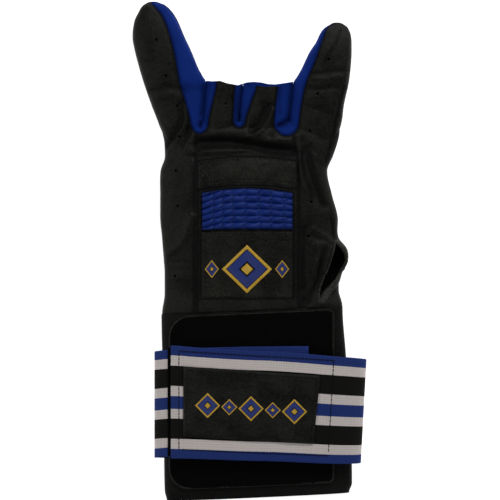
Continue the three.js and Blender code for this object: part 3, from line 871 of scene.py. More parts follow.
# %% Black glove leather
def leather(name, colour, grain=1.0, shine=0.50):
    """Soft black leather: fine pores, slow patches of wear, and a sheen that varies with both."""
    finish = Finish(name)
    place = finish.place()
    pores = finish.cells(place, 1300)
    skin = finish.cells(place, 520, "DISTANCE_TO_EDGE")
    fine = finish.noise(place, 2200, 3)
    speckle = finish.between(finish.noise(place, 780, 3), 0.36, 0.66)
    patches = finish.between(finish.noise(place, 75, 4), 0.34, 0.66)
    lines = finish.between(skin, 0.0, 0.10)
    height = 0.35 * pores + 0.35 * lines + 0.3 * fine
    # Painted shading: this attribute darkens the leather as painted shade in folds, seams, panel edges and
    # inside the wall, and lightens it as a painted highlight on ridges.
    crease = finish.attribute("crease")
    dark = [channel * 0.15 for channel in colour]
    light = [channel * 1.9 for channel in colour]
    shade = finish.mix(0.45 * speckle + 0.4 * patches + 0.15 * fine - 0.8 * crease, dark, light)
    return finish.surface(
        Base_Color=shade,
        Roughness=shine + 0.12 * patches - 0.05 * lines + 0.25 * crease,
        Normal=finish.bump(height, 0.50 * grain, 0.40 * mm),
        Specular_IOR_Level=0.17,
    )


glove_leather = leather("glove leather", (0.0078, 0.0080, 0.0060))
panel_leather = leather("panel leather", (0.0115, 0.0115, 0.0090), 1.1, 0.46)
# The hem's leather is about four times lighter than the glove leather: a painted highlight along the rolled
# hem.
hem_leather_painted_highlight = leather("hem leather, painted highlight", (0.0320, 0.0320, 0.0270), 1.0, 0.44)
cuff_leather = leather("cuff leather", (0.0030, 0.0030, 0.0024), 0.7, 0.62)
label_leather = leather("label leather", (0.0110, 0.0112, 0.0092), 0.8, 0.52)


# %% Blue stretch cloth
def stretch_cloth(name, colour, dark, rough, shine):
    """Knitted stretch cloth: tiny rows of loops, slow changes of depth in the dye, painted shading of the
    loops, and painted shade in its creases.
    """
    finish = Finish(name)
    place = finish.place()
    x, y, z = finish.axes(place)
    wander = finish.noise(place, 260, 2)
    wales = ((x + 0.35 * z) * 9000 + wander * 5).wave()
    courses = ((y + 0.5 * z) * 11000 + wander * 4).wave()
    loops = wales * courses
    fuzz = finish.noise(place, 3200, 2)
    patches = finish.noise(place, 90, 3)
    # Painted shade: this attribute darkens the cloth in its creases, along its seams and inside the wall.
    crease = finish.attribute("crease")
    shade = finish.mix(0.6 * patches + 0.25 * fuzz + 0.08 * loops + 0.10 - 0.9 * crease, dark, colour)
    return finish.surface(
        Base_Color=shade,
        Roughness=rough + 0.15 * fuzz,
        Normal=finish.bump(0.6 * loops + 0.8 * fuzz, 0.35, 0.12 * mm),
        Specular_IOR_Level=shine,
        Sheen_Weight=0.08,
        Sheen_Roughness=0.45,
        Sheen_Tint=(0.12, 0.25, 0.9, 1),
    )


blue, deep_blue = (0.0080, 0.0370, 0.290), (0.0026, 0.0130, 0.100)
rib_blue, deep_rib_blue = (0.0075, 0.0400, 0.300), (0.0030, 0.0150, 0.110)
blue_cloth = stretch_cloth("blue stretch cloth", blue, deep_blue, 0.74, 0.06)
rib_cloth = stretch_cloth("blue ribbed cloth", rib_blue, deep_rib_blue, 0.38, 0.18)


# %% Pile, elastic and thread
def pile_cloth(name):
    """Brushed loop pile: almost black, broken into tufts, with no shine."""
    finish = Finish(name)
    place = finish.place()
    tufts = finish.noise(place, 1500, 4)
    brushed = finish.noise(place, 120, 3)
    loops = finish.cells(place, 900)
    shade = finish.mix(0.5 * tufts + 0.5 * brushed, (0.0018, 0.0018, 0.0018), (0.0056, 0.0056, 0.0052))
    return finish.surface(
        Base_Color=shade,
        Roughness=0.9 + 0.1 * tufts,
        Normal=finish.bump(tufts + 0.5 * loops, 0.8, 0.5 * mm),
        Specular_IOR_Level=0.02,
    )


stripe_colours = {
    "blue": (0.023, 0.047, 0.215),
    "white": (0.80, 0.73, 0.70),
    "black": (0.0092, 0.0090, 0.0080),
}
stripe_stops = [
    (0.000, "blue"), (0.085, "white"), (0.172, "black"), (0.355, "white"), (0.443, "blue"),
    (0.557, "white"), (0.643, "black"), (0.822, "white"), (0.912, "blue"),
]


def elastic_cloth(name):
    """Woven elastic: lengthwise stripes, fine weft ribs across them, rubber that swells each rib."""
    finish = Finish(name)
    place = finish.place()
    across, along = finish.attribute("across"), finish.attribute("along")
    fray = finish.noise(place, 1400, 2)
    edge = across + 0.004 * (fray - 0.5)
    ramp = {"stops": [(position, stripe_colours[colour]) for position, colour in stripe_stops]}
    weft = (along * (2 * math.pi / (0.95 * mm))).wave()
    warp = (across * 2 * math.pi * 46).wave()
    weave = 0.6 * weft + 0.4 * warp
    stripes = finish.node("ShaderNodeValToRGB", ramp, {"Fac": edge})
    worn = finish.noise(place, 500, 3)
    shadow = finish.between(weave + 0.6 * worn, -0.9, 0.3)
    dark = finish.mix(0.32, stripes, (0.0, 0.0, 0.0))
    return finish.surface(
        Base_Color=finish.mix(shadow, dark, stripes),
        Roughness=0.78 + 0.12 * worn,
        Normal=finish.bump(weave + 0.4 * fray, 0.45, 0.16 * mm),
        Specular_IOR_Level=0.10,
    )


def thread(name, colour, twist=2400):
    """Sewing thread, with a twist that catches the light, and painted shade in the grooves between its
    strands.
    """
    finish = Finish(name)
    place = finish.place()
    x, y, z = finish.axes(place)
    strands = ((x + y + z) * (2 * twist)).wave()
    dark = [channel * 0.6 for channel in colour]
    return finish.surface(
        Base_Color=finish.mix(0.5 + 0.5 * strands, dark, colour),
        Roughness=0.55 + 0.1 * strands,
        Normal=finish.bump(strands, 0.3, 0.05 * mm),
        Specular_IOR_Level=0.14,
    )


def satin_stitch(name, colour, twist):
    """Embroidery thread laid side by side: fine ridges with a soft gloss, and painted shade in the grooves
    between them.
    """
    finish = Finish(name)
    place = finish.place()
    x, y, z = finish.axes(place)
    fray = finish.noise(place, 900, 2)
    ridges = ((x * math.cos(twist) + y * math.sin(twist)) * (2 * math.pi / (0.42 * mm)) + fray * 2).wave()
    dark = [channel * 0.55 for channel in colour]
    return finish.surface(
        Base_Color=finish.mix(0.35 + 0.4 * ridges + 0.3 * fray, dark, colour),
        Roughness=0.42 + 0.15 * fray,
        Normal=finish.bump(ridges + 0.5 * fray, 0.5, 0.10 * mm),
        Specular_IOR_Level=0.4,
    )


black_pile = pile_cloth("black loop pile")
striped_elastic = elastic_cloth("striped elastic")
black_thread = thread("black thread", (0.0065, 0.0065, 0.0056))
gold_satin = satin_stitch("gold embroidery", (0.98, 0.60, 0.055), 0.9)
blue_satin = satin_stitch("blue embroidery", (0.022, 0.050, 0.300), -0.6)
print(len(bpy.data.materials), "finishes")

# %% [markdown]
# ## The thumb opening
# The thumb leaves through a drop-shaped opening at the side of the hand, which looks out and up.
# A tool of that shape cuts it, and a folded hem is swept round its rim.

# %% Cut the thumb opening
thumb_length = 37 * mm
thumb_bow = 10 * mm
thumb_flat_bow = 0.8 * mm
thumb_from_wrist = 4.5 * mm
thumb_from_side = 8.2 * mm
thumb_rise = 0.83
thumb_look_up = math.radians(48)
thumb_lean = math.radians(19)
thumb_share = (thumb_from_wrist + thumb_length / 2) / hand_length
thumb_side = hand_section(thumb_share)
thumb_height = thumb_side["low"] + (thumb_side["high"] - thumb_side["low"]) * thumb_rise
thumb_middle = Vector((thumb_side["right"] - thumb_from_side, thumb_side["y"], thumb_height))
thumb_turn = Matrix.Rotation(-thumb_lean, 3, "Z")
thumb_out = thumb_turn @ Vector((math.cos(thumb_look_up), 0, math.sin(thumb_look_up)))
thumb_back = thumb_turn @ Vector((-math.sin(thumb_look_up), 0, math.cos(thumb_look_up)))
thumb_along = thumb_turn @ Vector((0, 1, 0))


def thumb_outline(turn):
    """A point of the opening in its own plane: along the hand, and towards its back."""
    share = (1 - math.cos(turn)) / 2
    bow = max(0.0, math.sin(math.pi * share**0.6)) ** 1.5
    reach = thumb_flat_bow * math.sin(turn) if math.sin(turn) > 0 else -thumb_bow * bow
    return Vector((thumb_length / 2 * math.cos(turn), reach))


def thumb_rim(turn, grow, out):
    """A point of the rim, grown outward by a distance, and moved out along its look."""
    here = thumb_outline(turn)
    run = thumb_outline(turn + 0.15) - thumb_outline(turn - 0.15)
    outward = Vector((run.y, -run.x)).normalized() * grow
    in_plane = thumb_along * (here.x + outward.x) + thumb_back * (here.y + outward.y)
    return thumb_middle + in_plane + thumb_out * out


def thumb_tool():
    shape = bmesh.new()
    bmesh.ops.create_circle(shape, cap_ends=True, segments=72, radius=1)
    for vert in shape.verts:
        turn = math.atan2(vert.co.y, vert.co.x) % (2 * math.pi)
        vert.co = thumb_rim(turn, 0.0, -thumb_bow / 2 - leather_wall)
    raised = bmesh.ops.extrude_face_region(shape, geom=shape.faces[:])["geom"]
    tops = [part for part in raised if isinstance(part, bmesh.types.BMVert)]
    bmesh.ops.translate(shape, verts=tops, vec=thumb_out * hand_width / 2)
    bmesh.ops.recalc_face_normals(shape, faces=shape.faces)
    return make("thumb tool", shape)


carve(shell, thumb_tool())
print("thumb opening cut:", len(shell.data.polygons), "faces")

# %% [markdown]
# ## Air holes
# The leather has a few punched holes. Each is a small round tool through the wall.

# %% Punch the air holes
air_holes = [
    (156.5, 40), (166, 76), (177.5, 106), (179.5, 137), (176, 171), (178, 206), (175, 276),
    (225.6, 104), (269, 105), (328.5, 59.5), (317.5, 94), (310, 131), (311, 202), (308, 236),
]
punches = bmesh.new()
for across, down in air_holes:
    above = spot(across, down) + Vector((0, 0, 30 * mm))
    hit, normal = outer_skin.ray_cast(above, Vector((0, 0, -1)))[:2]
    turn = normal.to_track_quat("Z", "Y").to_matrix().to_4x4()
    deep = Matrix.Translation(hit) @ turn
    bmesh.ops.create_cone(
        punches, cap_ends=True, segments=12, radius1=0.8 * mm, radius2=0.8 * mm, depth=5 * mm, matrix=deep
    )
bmesh.ops.recalc_face_normals(punches, faces=punches.faces)
carve(shell, make("punches", punches))
print(len(air_holes), "air holes")

# %% [markdown]
# ## Leather and cloth
# The shell is one wall. Where a blue wall belongs, an upright tool with its outline takes that part
# out of the leather and keeps it as the cloth piece, so the two edges meet exactly.

# %% Divide the shell into leather and cloth
rim_y = web_y + stall_length
cap_above = 2.6 * mm
cap_beside = 0.3 * mm
sky = 60 * mm


def wall_tool(wall):
    """The upright tool over one cloth wall. It ends above the stalls, and above a closed tip."""
    outline = list(wall["outline"])
    tip_left, tip_right = outline[0], outline[-1]
    before, after = wall["before"], wall["after"]
    top_left = (tip_left.y if before["closed"] else rim_y) + cap_above
    top_right = (tip_right.y if after["closed"] else rim_y) + cap_above
    cap = [(tip_right.x, top_right), (tip_left.x, top_left)]
    if before["closed"]:
        edge = middle_x + after["rows"][-1]["left"] * hand_width - cap_beside
        cap[1:1] = [(edge, top_right), (edge, top_left)]
    elif after["closed"]:
        edge = middle_x + before["rows"][-1]["right"] * hand_width + cap_beside
        cap[1:1] = [(edge, top_right), (edge, top_left)]
    outline += [Vector((x, y, 0)) for x, y in cap]
    return prism(outline, seam_height, sky)


def copy_of(piece, name):
    twin = piece.copy()
    twin.data = piece.data.copy()
    twin.name = name
    bpy.context.scene.collection.objects.link(twin)
    return twin


rim_edge = [spot(*place) for place in [
    (205, 80.5), (212, 81.5), (220, 81.2), (227, 83.5), (236, 85.0), (244, 86.0),
    (256, 85.5), (264, 87.2), (273, 86.2), (279, 86.8), (286, 83.5), (293, 81.5),
]]
above_rims = prism(rim_edge + [spot(293, 70), spot(205, 70)], seam_height, sky)
carve(shell, above_rims)
for wall in cloth_walls:
    cloth = copy_of(shell, wall["name"] + "_cloth")
    tool = wall_tool(wall)
    carve(cloth, tool, "INTERSECT", keep_tool=True)
    carve(shell, tool)
    wall["piece"] = cloth
    print(cloth.name, len(cloth.data.polygons), "faces")

# %% [markdown]
# ## The blue lining of the open stalls
# Behind the cut edges of the stalls the palm side stands a little higher, and it shows blue.

# %% Keep the palm side of the rims in blue
lining_room = [spot(*place) for place in [(203, 90), (292, 90), (292, 74), (203, 74)]]
lining_edge = [spot(*place) for place in [
    (202, 84.5), (232, 85.0), (237, 84.6), (242, 83.0), (248, 81.2), (254, 80.6), (261, 81.2),
    (268, 82.8), (275, 83.2), (283, 82.2), (293, 81.0),
]]
lining_top = seam_height + 0.15 * mm
carve(shell, prism(lining_edge + [spot(293, 70), spot(202, 70)], -mm, lining_top))
lining_tool = prism(lining_room, -mm, lining_top)
rim_lining = copy_of(shell, "stall_rim_lining")
carve(rim_lining, lining_tool, "INTERSECT", keep_tool=True)
carve(shell, lining_tool)
shell.name = "glove_leather"
print("lining:", len(rim_lining.data.polygons), "faces; leather:", len(shell.data.polygons), "faces")

# %% [markdown]
# ## Panels on the back of the hand
# A panel is a flat grid, bowed to the panel's outline and let down onto the hand. It is solid
# cloth or leather, so it gets a thickness and a softened edge.

# %% Lay a grid on a surface
far_above = 100 * mm
edge_roll = 0.8 * mm


def height_on(surface, x, y, otherwise):
    hit = surface.ray_cast(Vector((x, y, far_above)), Vector((0, 0, -1)))[0]
    return hit.z if hit else otherwise


def laid_panel(name, steps, place_at, height_at, thickness, material):
    """A grid of the given steps, placed by shares of its width and height, with a wall."""
    shape = grid(*steps)
    for vert in shape.verts:
        across, up = vert.co.x + 0.5, vert.co.y + 0.5
        place = place_at(across, up)
        place.z = height_at(place, across, up)
        vert.co = place
    face_up(shape)
    panel = make(name, shape, material)
    add_wall(panel, thickness, offset=-1)
    soften(panel, 0.3 * mm, 50)
    settle(panel)
    panel.data.shade_smooth()
    return panel


def rolled_edge(place_share, length, roll):
    """How far an edge rolls down, from its share and length."""
    away = min(place_share, 1 - place_share) * length
    return roll * bell(away / edge_roll)


def leather_panel(name, steps, raised, material, unevenness):
    shape = panel_shapes[name]
    width = (shape["right"] - shape["left"]) * hand_width
    height = (shape["top"] - shape["bottom"]) * hand_length

    def height_at(place, across, up):
        skin = height_on(outer_skin, place.x, place.y, hand_depth)
        rise = panel_sink * under_panel(place.x, place.y) + raised
        rise += wrinkle(place, 9 * mm, unevenness) + wrinkle(place, 4 * mm, unevenness / 2)
        return skin + rise - rolled_edge(across, width, 0.5 * mm) - rolled_edge(up, height, 0.5 * mm)

    def place_at(across, up):
        return panel_place(shape, across, up)

    return laid_panel(name + "_leather", steps, place_at, height_at, 1.3 * mm, material)


knuckles = leather_panel("knuckle_panel", (60, 20), 0.5 * mm, panel_leather, 0.35 * mm)
patch = leather_panel("back_patch", (60, 44), 0.5 * mm, panel_leather, 0.30 * mm)
print("knuckle panel and patch:", len(knuckles.data.polygons) + len(patch.data.polygons), "faces")

# %% [markdown]
# ## The shirred panel
# Six cords of gathered cloth lie side by side. Upright rows of elastic stitches pull the ribs down,
# so each rib is a chain of small pillows that bow upwards in the middle.

# %% Six ribs, pinched by upright stitches
rib_count = 6
rib_height = 1.7 * mm
rib_droop = 0.75
rib_droop_share = 0.30
pinch_depth = 0.60
pinch_width = 1.1 * mm
pinch_columns = [213.5, 222.5, 233, 245.3, 259.5, 271.5, 284.5]
pinch_places = [spot(column, 0).x for column in pinch_columns]


def rib_rise(place, across, up):
    droop = rib_droop * max(0.0, 1 - across / rib_droop_share) ** 1.5
    rib = up * rib_count + droop
    wobble = 0.07 * math.sin(place.x / (2.1 * mm) + 2.4 * math.floor(rib))
    share = limited(rib - math.floor(rib) + wobble)
    rise = math.sin(math.pi * share) ** 0.6
    near = min(abs(place.x - column) for column in pinch_places)
    pinch = 1 - pinch_depth * bell(near / pinch_width)
    puff = 1 + 0.35 * noise.noise(Vector((place.x, math.floor(rib) * 7 * mm, 0)) * 260)
    return rib_height * rise * pinch * puff


def flex_height(place, across, up):
    skin = height_on(outer_skin, place.x, place.y, hand_depth)
    return skin + panel_sink * under_panel(place.x, place.y) - 0.1 * mm + rib_rise(place, across, up)


flex_shape = panel_shapes["flex_panel"]
flex_steps = ((180, 120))
flex = laid_panel(
    "flex_panel_cloth", flex_steps, lambda across, up: panel_place(flex_shape, across, up), flex_height,
    1.2 * mm, rib_cloth,
)
print("shirred panel:", len(flex.data.polygons), "faces")

# %% [markdown]
# ## The hem of the thumb opening
# The rim is found by looking back along the opening's own direction until the skin is met. A strip
# follows it: outside over the leather, round the edge, and back inside.

# %% Sweep the hem round the rim
hem_section = table(["grow", "lift"], [
    [0.2, -1.8], [-0.5, -0.8], [-0.5, 0.1], [-0.1, 0.7], [0.8, 0.95], [1.8, 0.9], [2.4, 0.6], [2.6, 0.0],
])


def rim_point(turn, grow):
    """Where the skin is met at an angle round the opening."""
    hit = outer_skin.ray_cast(thumb_rim(turn, grow, 60 * mm), -thumb_out)[0]
    return hit or thumb_rim(turn, grow, 0.0)


hem_steps = 120
hem_shape = grid(hem_steps, len(hem_section) - 1)
for vert in hem_shape.verts:
    turn = (round((vert.co.x + 0.5) * hem_steps) % hem_steps) * 2 * math.pi / hem_steps
    row = hem_section[round((vert.co.y + 0.5) * (len(hem_section) - 1))]
    ripple = 1 + 0.10 * math.sin(turn * 23) * math.sin(turn * 3 + 1)
    wide = 0.28 + 0.72 * limited(0.3 - 4 * math.sin(turn))
    point = rim_point(turn, max(row["grow"] * wide, 0.2) * mm)
    outward = thumb_rim(turn, mm, 0) - thumb_rim(turn, 0, 0)
    fold_in = outward * min(row["grow"] - 0.2, 0.0) * wide
    vert.co = point + thumb_out * row["lift"] * wide * mm * ripple + fold_in
bmesh.ops.remove_doubles(hem_shape, verts=hem_shape.verts, dist=1e-7)
bmesh.ops.smooth_vert(
    hem_shape, verts=hem_shape.verts, factor=0.3, use_axis_x=True, use_axis_y=True, use_axis_z=True
)
bmesh.ops.recalc_face_normals(hem_shape, faces=hem_shape.faces)
# The hem gets the lighter leather, a painted highlight.
thumb_hem = make("thumb_hem", hem_shape, hem_leather_painted_highlight)
add_wall(thumb_hem, 0.5 * mm)
smooth = thumb_hem.modifiers.new("smooth", "SUBSURF")
smooth.levels = smooth.render_levels = 1
settle(thumb_hem)
print("hem:", len(thumb_hem.data.polygons), "faces")

# %% [markdown]
# ## The cuff
# The cuff is a wide leather sleeve. It is rolled like the hand, cut hollow by a smaller sleeve, and
# left open at the lower end.

# %% Roll the cuff
cuff_overrun = 6 * mm


def cuff_sections(count):
    return [cuff_section(along) for along in spread(0, 1, count)]


def cuff_lift(place, top):
    uneven = wrinkle(place, 16 * mm, 0.35 * mm) + wrinkle(place, 5 * mm, 0.12 * mm)
    return Vector((place.x, place.y, place.z - (uneven + 0.35 * mm) * top))


cuff_rings = 92
cuff_sides = 180
cuff = make("cuff_leather", tube(cuff_sections(cuff_rings), cuff_sides, 0, cuff_lift))
carve(cuff, make("bore", tube(longer(cuff_sections(30), cuff_overrun), 80, leather_wall + 0.5 * mm)))
print("cuff:", len(cuff.data.polygons), "faces")

# %% [markdown]
# ## The pile panel
# A brushed panel covers the cuff, where the hooks of the strap grip. It lies in a leather border
# with a thin piping round it.

# %% Lay the pile panel and its piping
pile_box = {
    "left": cuff_section(0.5)["left"] + 4.2 * mm,
    "right": cuff_section(0.5)["right"] - 10 * mm,
    "bottom": cuff_end_y + 7.5 * mm,
    "top": cuff_end_y + cuff_length - 2 * mm,
}
pile_corner_left = 12 * mm
pile_corner_right = 3 * mm


def rounded(inwards=0.0, steps=8):
    """The panel's plan outline with round corners, on the slant of the cuff."""
    left, right = pile_box["left"] + inwards, pile_box["right"] - inwards
    bottom, top = pile_box["bottom"] + inwards, pile_box["top"] - inwards
    outline = []
    corners = [(right, bottom, -90), (right, top, 0), (left, top, 90), (left, bottom, 180)]
    for x, y, start in corners:
        corner = (pile_corner_right if x == right else pile_corner_left) - inwards
        centre_x = x - corner if x == right else x + corner
        centre_y = y - corner if y == top else y + corner
        for turn in spread(start, start + 90, steps):
            angle = math.radians(turn)
            bend = Vector((corner * math.cos(angle), corner * math.sin(angle), 0))
            outline.append(Vector((centre_x, centre_y, 0)) + bend)
    for point in outline:
        point.y += cuff_slant * (point.x - middle_x) / cuff_width
    return outline


cuff_skin = skin_of(cuff)
pile_outline = rounded()


def pile_lift(place, top):
    tufts = wrinkle(place, 1.3 * mm, 0.30 * mm) + wrinkle(place, 7 * mm, 0.30 * mm)
    return Vector((place.x, place.y, place.z + tufts * top))


pile_rings = 130
pile = make("pile_panel", tube(cuff_sections(pile_rings), 230, -1.3 * mm, pile_lift))
carve(pile, make("under pile", tube(longer(cuff_sections(24), cuff_overrun), 90, -0.1 * mm)))
carve(pile, prism(pile_outline, cuff_low + cuff_depth / 2, sky), "INTERSECT")
dress(pile, black_pile)


def cord_along(name, points, radius, surface, lift, material, closed=False, sides=8):
    """A thin round cord on a surface, as a curve made into a mesh."""
    curve = bpy.data.curves.new(name, "CURVE")
    curve.dimensions = "3D"
    curve.bevel_depth = radius
    curve.bevel_resolution = max(0, sides // 4 - 1)
    curve.use_fill_caps = not closed
    spline = curve.splines.new("POLY")
    spline.points.add(len(points) - 1)
    for target, point in zip(spline.points, points):
        target.co = (point.x, point.y, height_on(surface, point.x, point.y, point.z) + lift, 1)
    spline.use_cyclic_u = closed
    rope = bpy.data.objects.new(name + "_course", curve)
    bpy.context.scene.collection.objects.link(rope)
    bpy.context.view_layer.update()
    mesh = bpy.data.meshes.new_from_object(rope.evaluated_get(bpy.context.evaluated_depsgraph_get()))
    bpy.data.objects.remove(rope)
    mesh.shade_smooth()
    cord = bpy.data.objects.new(name, mesh)
    bpy.context.scene.collection.objects.link(cord)
    dress(cord, material)
    return cord


pile_edge = along_line(pile_outline + pile_outline[:1], 1.5 * mm)
piping = cord_along(
    "cuff_piping", pile_edge[:-1], 0.65 * mm, cuff_skin, 0.9 * mm, panel_leather, closed=True
)
print("pile:", len(pile.data.polygons), "faces, piping:", len(piping.data.polygons), "faces")

# %% [markdown]
# ## The strap
# One elastic band goes once round the cuff and over itself. Every point knows how far it is across
# and along the band, so the stripes and the weave turn and bend with it.

# %% Wind the strap
strap_width = 63.5 * mm
strap_thickness = 1.8 * mm
strap_up_cuff = 55.5 * mm
strap_y = cuff_end_y + strap_up_cuff
strap_start, strap_end = 68.0, 500.0
pile_thickness = 1.4 * mm
gap = 0.3 * mm
strap_rows = table(["turn", "rise", "width", "layer"], [
    [strap_start, 0.058, 1.00, 0.0],
    [180, 0.000, 1.005, 0.0],
    [270, -0.030, 1.00, 0.0],
    [360, -0.060, 0.98, 0.35],
    [410, -0.042, 1.005, 1.0],
    [450, 0.000, 1.03, 1.0],
    [480, 0.025, 1.045, 1.0],
    [strap_end, 0.033, 1.06, 1.0],
])
strap_middle = cuff_section(strap_up_cuff / cuff_length)
slack_left, slack_right = 3.6 * mm, 6 * mm
right_skew = 1.7 * mm
skew_reach = 55 * mm


def strap_point(turn):
    """The middle line of the band at an angle round the cuff."""
    layer = read(strap_rows, "turn", turn, "layer") * (strap_thickness + 2 * gap)
    half = strap_thickness / 2
    left = strap_middle["left"] - slack_left - half - layer
    right = strap_middle["right"] + slack_right + half + layer
    high = strap_middle["high"] + pile_thickness + 2 * gap + half + layer
    across, height = rounded_box(math.radians(turn))
    x = (left + right) / 2 + (right - left) / 2 * across
    return Vector((x, 0, (half + high) / 2 + (high - half) / 2 * height))


def band_point(turn, across, lift=0.0):
    """A place on the band: an angle round the cuff, a share of its width, and a lift off it."""
    run = strap_point(turn + 0.5) - strap_point(turn - 0.5)
    place = strap_point(turn) + Vector((run.z, 0, -run.x)).normalized() * lift
    width = read(strap_rows, "turn", turn, "width") * strap_width
    place.y = strap_y + read(strap_rows, "turn", turn, "rise") * strap_width + (0.5 - across) * width
    lean = limited((place.x - middle_x) / skew_reach)
    place.x += right_skew * (0.5 - across) * 2 * lean
    return place


strap_step = 0.4 * mm
strap_turns = [strap_start]
while strap_turns[-1] < strap_end:
    here = strap_point(strap_turns[-1])
    ahead = strap_point(strap_turns[-1] + 0.2)
    strap_turns.append(min(strap_end, strap_turns[-1] + 0.2 * strap_step / (ahead - here).length))
strap_length = sum((strap_point(b) - strap_point(a)).length for a, b in zip(strap_turns, strap_turns[1:]))
print("strap:", round(strap_length * 1000), "mm long,", len(strap_turns), "places")
band_steps = ((44, 420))
strap_shape = grid(*band_steps)
across_layer = strap_shape.verts.layers.float.new("across")
along_layer = strap_shape.verts.layers.float.new("along")
for vert in strap_shape.verts:
    across = vert.co.x + 0.5
    step = round((vert.co.y + 0.5) * band_steps[1])
    turn = strap_turns[round(step * (len(strap_turns) - 1) / band_steps[1])]
    along = strap_length * step / band_steps[1]
    vert[across_layer] = across
    vert[along_layer] = along
    place = band_point(turn, across)
    waviness = noise.noise(Vector((along * 60, across * 1.5, 3))) * 0.35 * mm
    place.z += waviness if place.z > 12 * mm else 0.0
    vert.co = place
bmesh.ops.recalc_face_normals(strap_shape, faces=strap_shape.faces)
strap = make("wrist_strap_band", strap_shape, striped_elastic)
add_wall(strap, strap_thickness - 0.2 * mm)
soften(strap, 0.4 * mm, 60)
settle(strap)
strap_skin = skin_of(strap)
print("band:", len(strap.data.polygons), "faces")

# %% The hook tape under the strap's free end
tape_start, tape_end = 484, 504
tape_margin = 0.02
tape_shape = grid(12, 20)
for vert in tape_shape.verts:
    turn = tape_start + (tape_end - tape_start) * (vert.co.x + 0.5)
    across = tape_margin + (1 - 2 * tape_margin) * (vert.co.y + 0.5)
    vert.co = band_point(turn, across, -strap_thickness / 2 - gap)
bmesh.ops.recalc_face_normals(tape_shape, faces=tape_shape.faces)
hook_tape = make("strap_hook_tape", tape_shape, black_pile)
add_wall(hook_tape, 0.4 * mm)
settle(hook_tape)
print("hook tape:", len(hook_tape.data.polygons), "faces")

# %% [markdown]
# ## The label
# A leather label is sewn on the band. Its four corners were read off the photograph, and one corner
# has peeled up a little.

# %% Lay the label on the band
label_corners = {
    "top left": spot(184, 365.5),
    "top right": spot(320, 374.5),
    "bottom right": spot(313, 442),
    "bottom left": spot(183.5, 435),
}
peel_height = 0.9 * mm
peel_reach = 9 * mm
label_width = (label_corners["top right"] - label_corners["top left"]).length
label_height = (label_corners["top left"] - label_corners["bottom left"]).length


def label_place(across, up):
    bottom = label_corners["bottom left"].lerp(label_corners["bottom right"], across)
    top = label_corners["top left"].lerp(label_corners["top right"], across)
    return bottom.lerp(top, up)


def label_rise(place, across, up):
    from_corner = math.hypot(across * label_width, (1 - up) * label_height)
    peel = peel_height * max(0.0, 1 - from_corner / peel_reach)
    uneven = wrinkle(place, 12 * mm, 0.25 * mm)
    roll = rolled_edge(across, label_width, 0.35 * mm) + rolled_edge(up, label_height, 0.35 * mm)
    return height_on(strap_skin, place.x, place.y, 26 * mm) + 1.3 * mm + peel + uneven - roll


label = laid_panel("strap_label_leather", (70, 40), label_place, label_rise, 1.0 * mm, label_leather)
label_skin, patch_skin, knuckle_skin, flex_skin = map(skin_of, [label, patch, knuckles, flex])
print("label:", round(label_width * 1000), "by", round(label_height * 1000), "mm")

# %% [markdown]
# ## Embroidery
# The patch and the label carry a plain geometric design: nested diamonds in gold and blue. Each
# diamond is a grid turned on its corner, with its middle taken out, laid on the leather.

# %% Embroider the diamonds
def diamond(name, centre, half, shares, surface, lift, material):
    """A diamond between two shares of its size, laid on a surface."""
    inner, outer = shares
    shape = grid(24, 24, half=1.0)
    middle_faces = [
        face for face in shape.faces
        if max(abs(face.calc_center_median().x), abs(face.calc_center_median().y)) < inner / outer
    ]
    bmesh.ops.delete(shape, geom=middle_faces, context="FACES")
    for vert in shape.verts:
        a, b = vert.co.x * outer, vert.co.y * outer
        place = centre + Vector(((a + b) / 2 * half[0], (b - a) / 2 * half[1], 0))
        place.z = height_on(surface, place.x, place.y, 20 * mm) + lift
        vert.co = place
    face_up(shape)
    made = make(name, shape, material)
    add_wall(made, lift + 0.1 * mm, offset=-1)
    soften(made, 0.12 * mm, 60)
    settle(made)
    return made


diamond_layers = [
    ("gold", (0.82, 1.0), 0.40 * mm, gold_satin),
    ("blue", (0.34, 0.80), 0.32 * mm, blue_satin),
    ("heart", (0.0, 0.24), 0.40 * mm, gold_satin),
]


def embroidery(name, places, surface):
    """Gold outlines and blue fillings at several places: a centre, and half a width and height."""
    parts = []
    for number, (centre, half) in enumerate(places):
        for layer, shares, lift, satin in diamond_layers:
            piece_name = f"{name}_{layer}_{number}"
            parts.append(diamond(piece_name, centre, half, shares, surface, lift, satin))
    return parts


patch_design = [
    (spot(247, 269), (25 * photo_pixel, 24 * photo_pixel)),
    (spot(212, 269), (7 * photo_pixel, 9 * photo_pixel)),
    (spot(282, 269), (7 * photo_pixel, 9 * photo_pixel)),
]
label_design = []
for number in range(-2, 3):
    size = 12.5 if number % 2 == 0 else 8
    centre = spot(251 + 21.5 * number, 407 + 1.5 * number)
    label_design.append((centre, (size * photo_pixel, size * photo_pixel)))
patch_motif = embroidery("patch_diamond", patch_design, patch_skin)
label_motif = embroidery("label_diamond", label_design, label_skin)
print(len(patch_motif) + len(label_motif), "embroidered shapes")

# %% [markdown]
# ## Stitches
# Each stitch is a short capsule of thread with few faces, laid between two points of the leather
# and sunk a little into it. A row is one object.

# %% Sew rows of stitches
stitch_step = 0.25 * mm


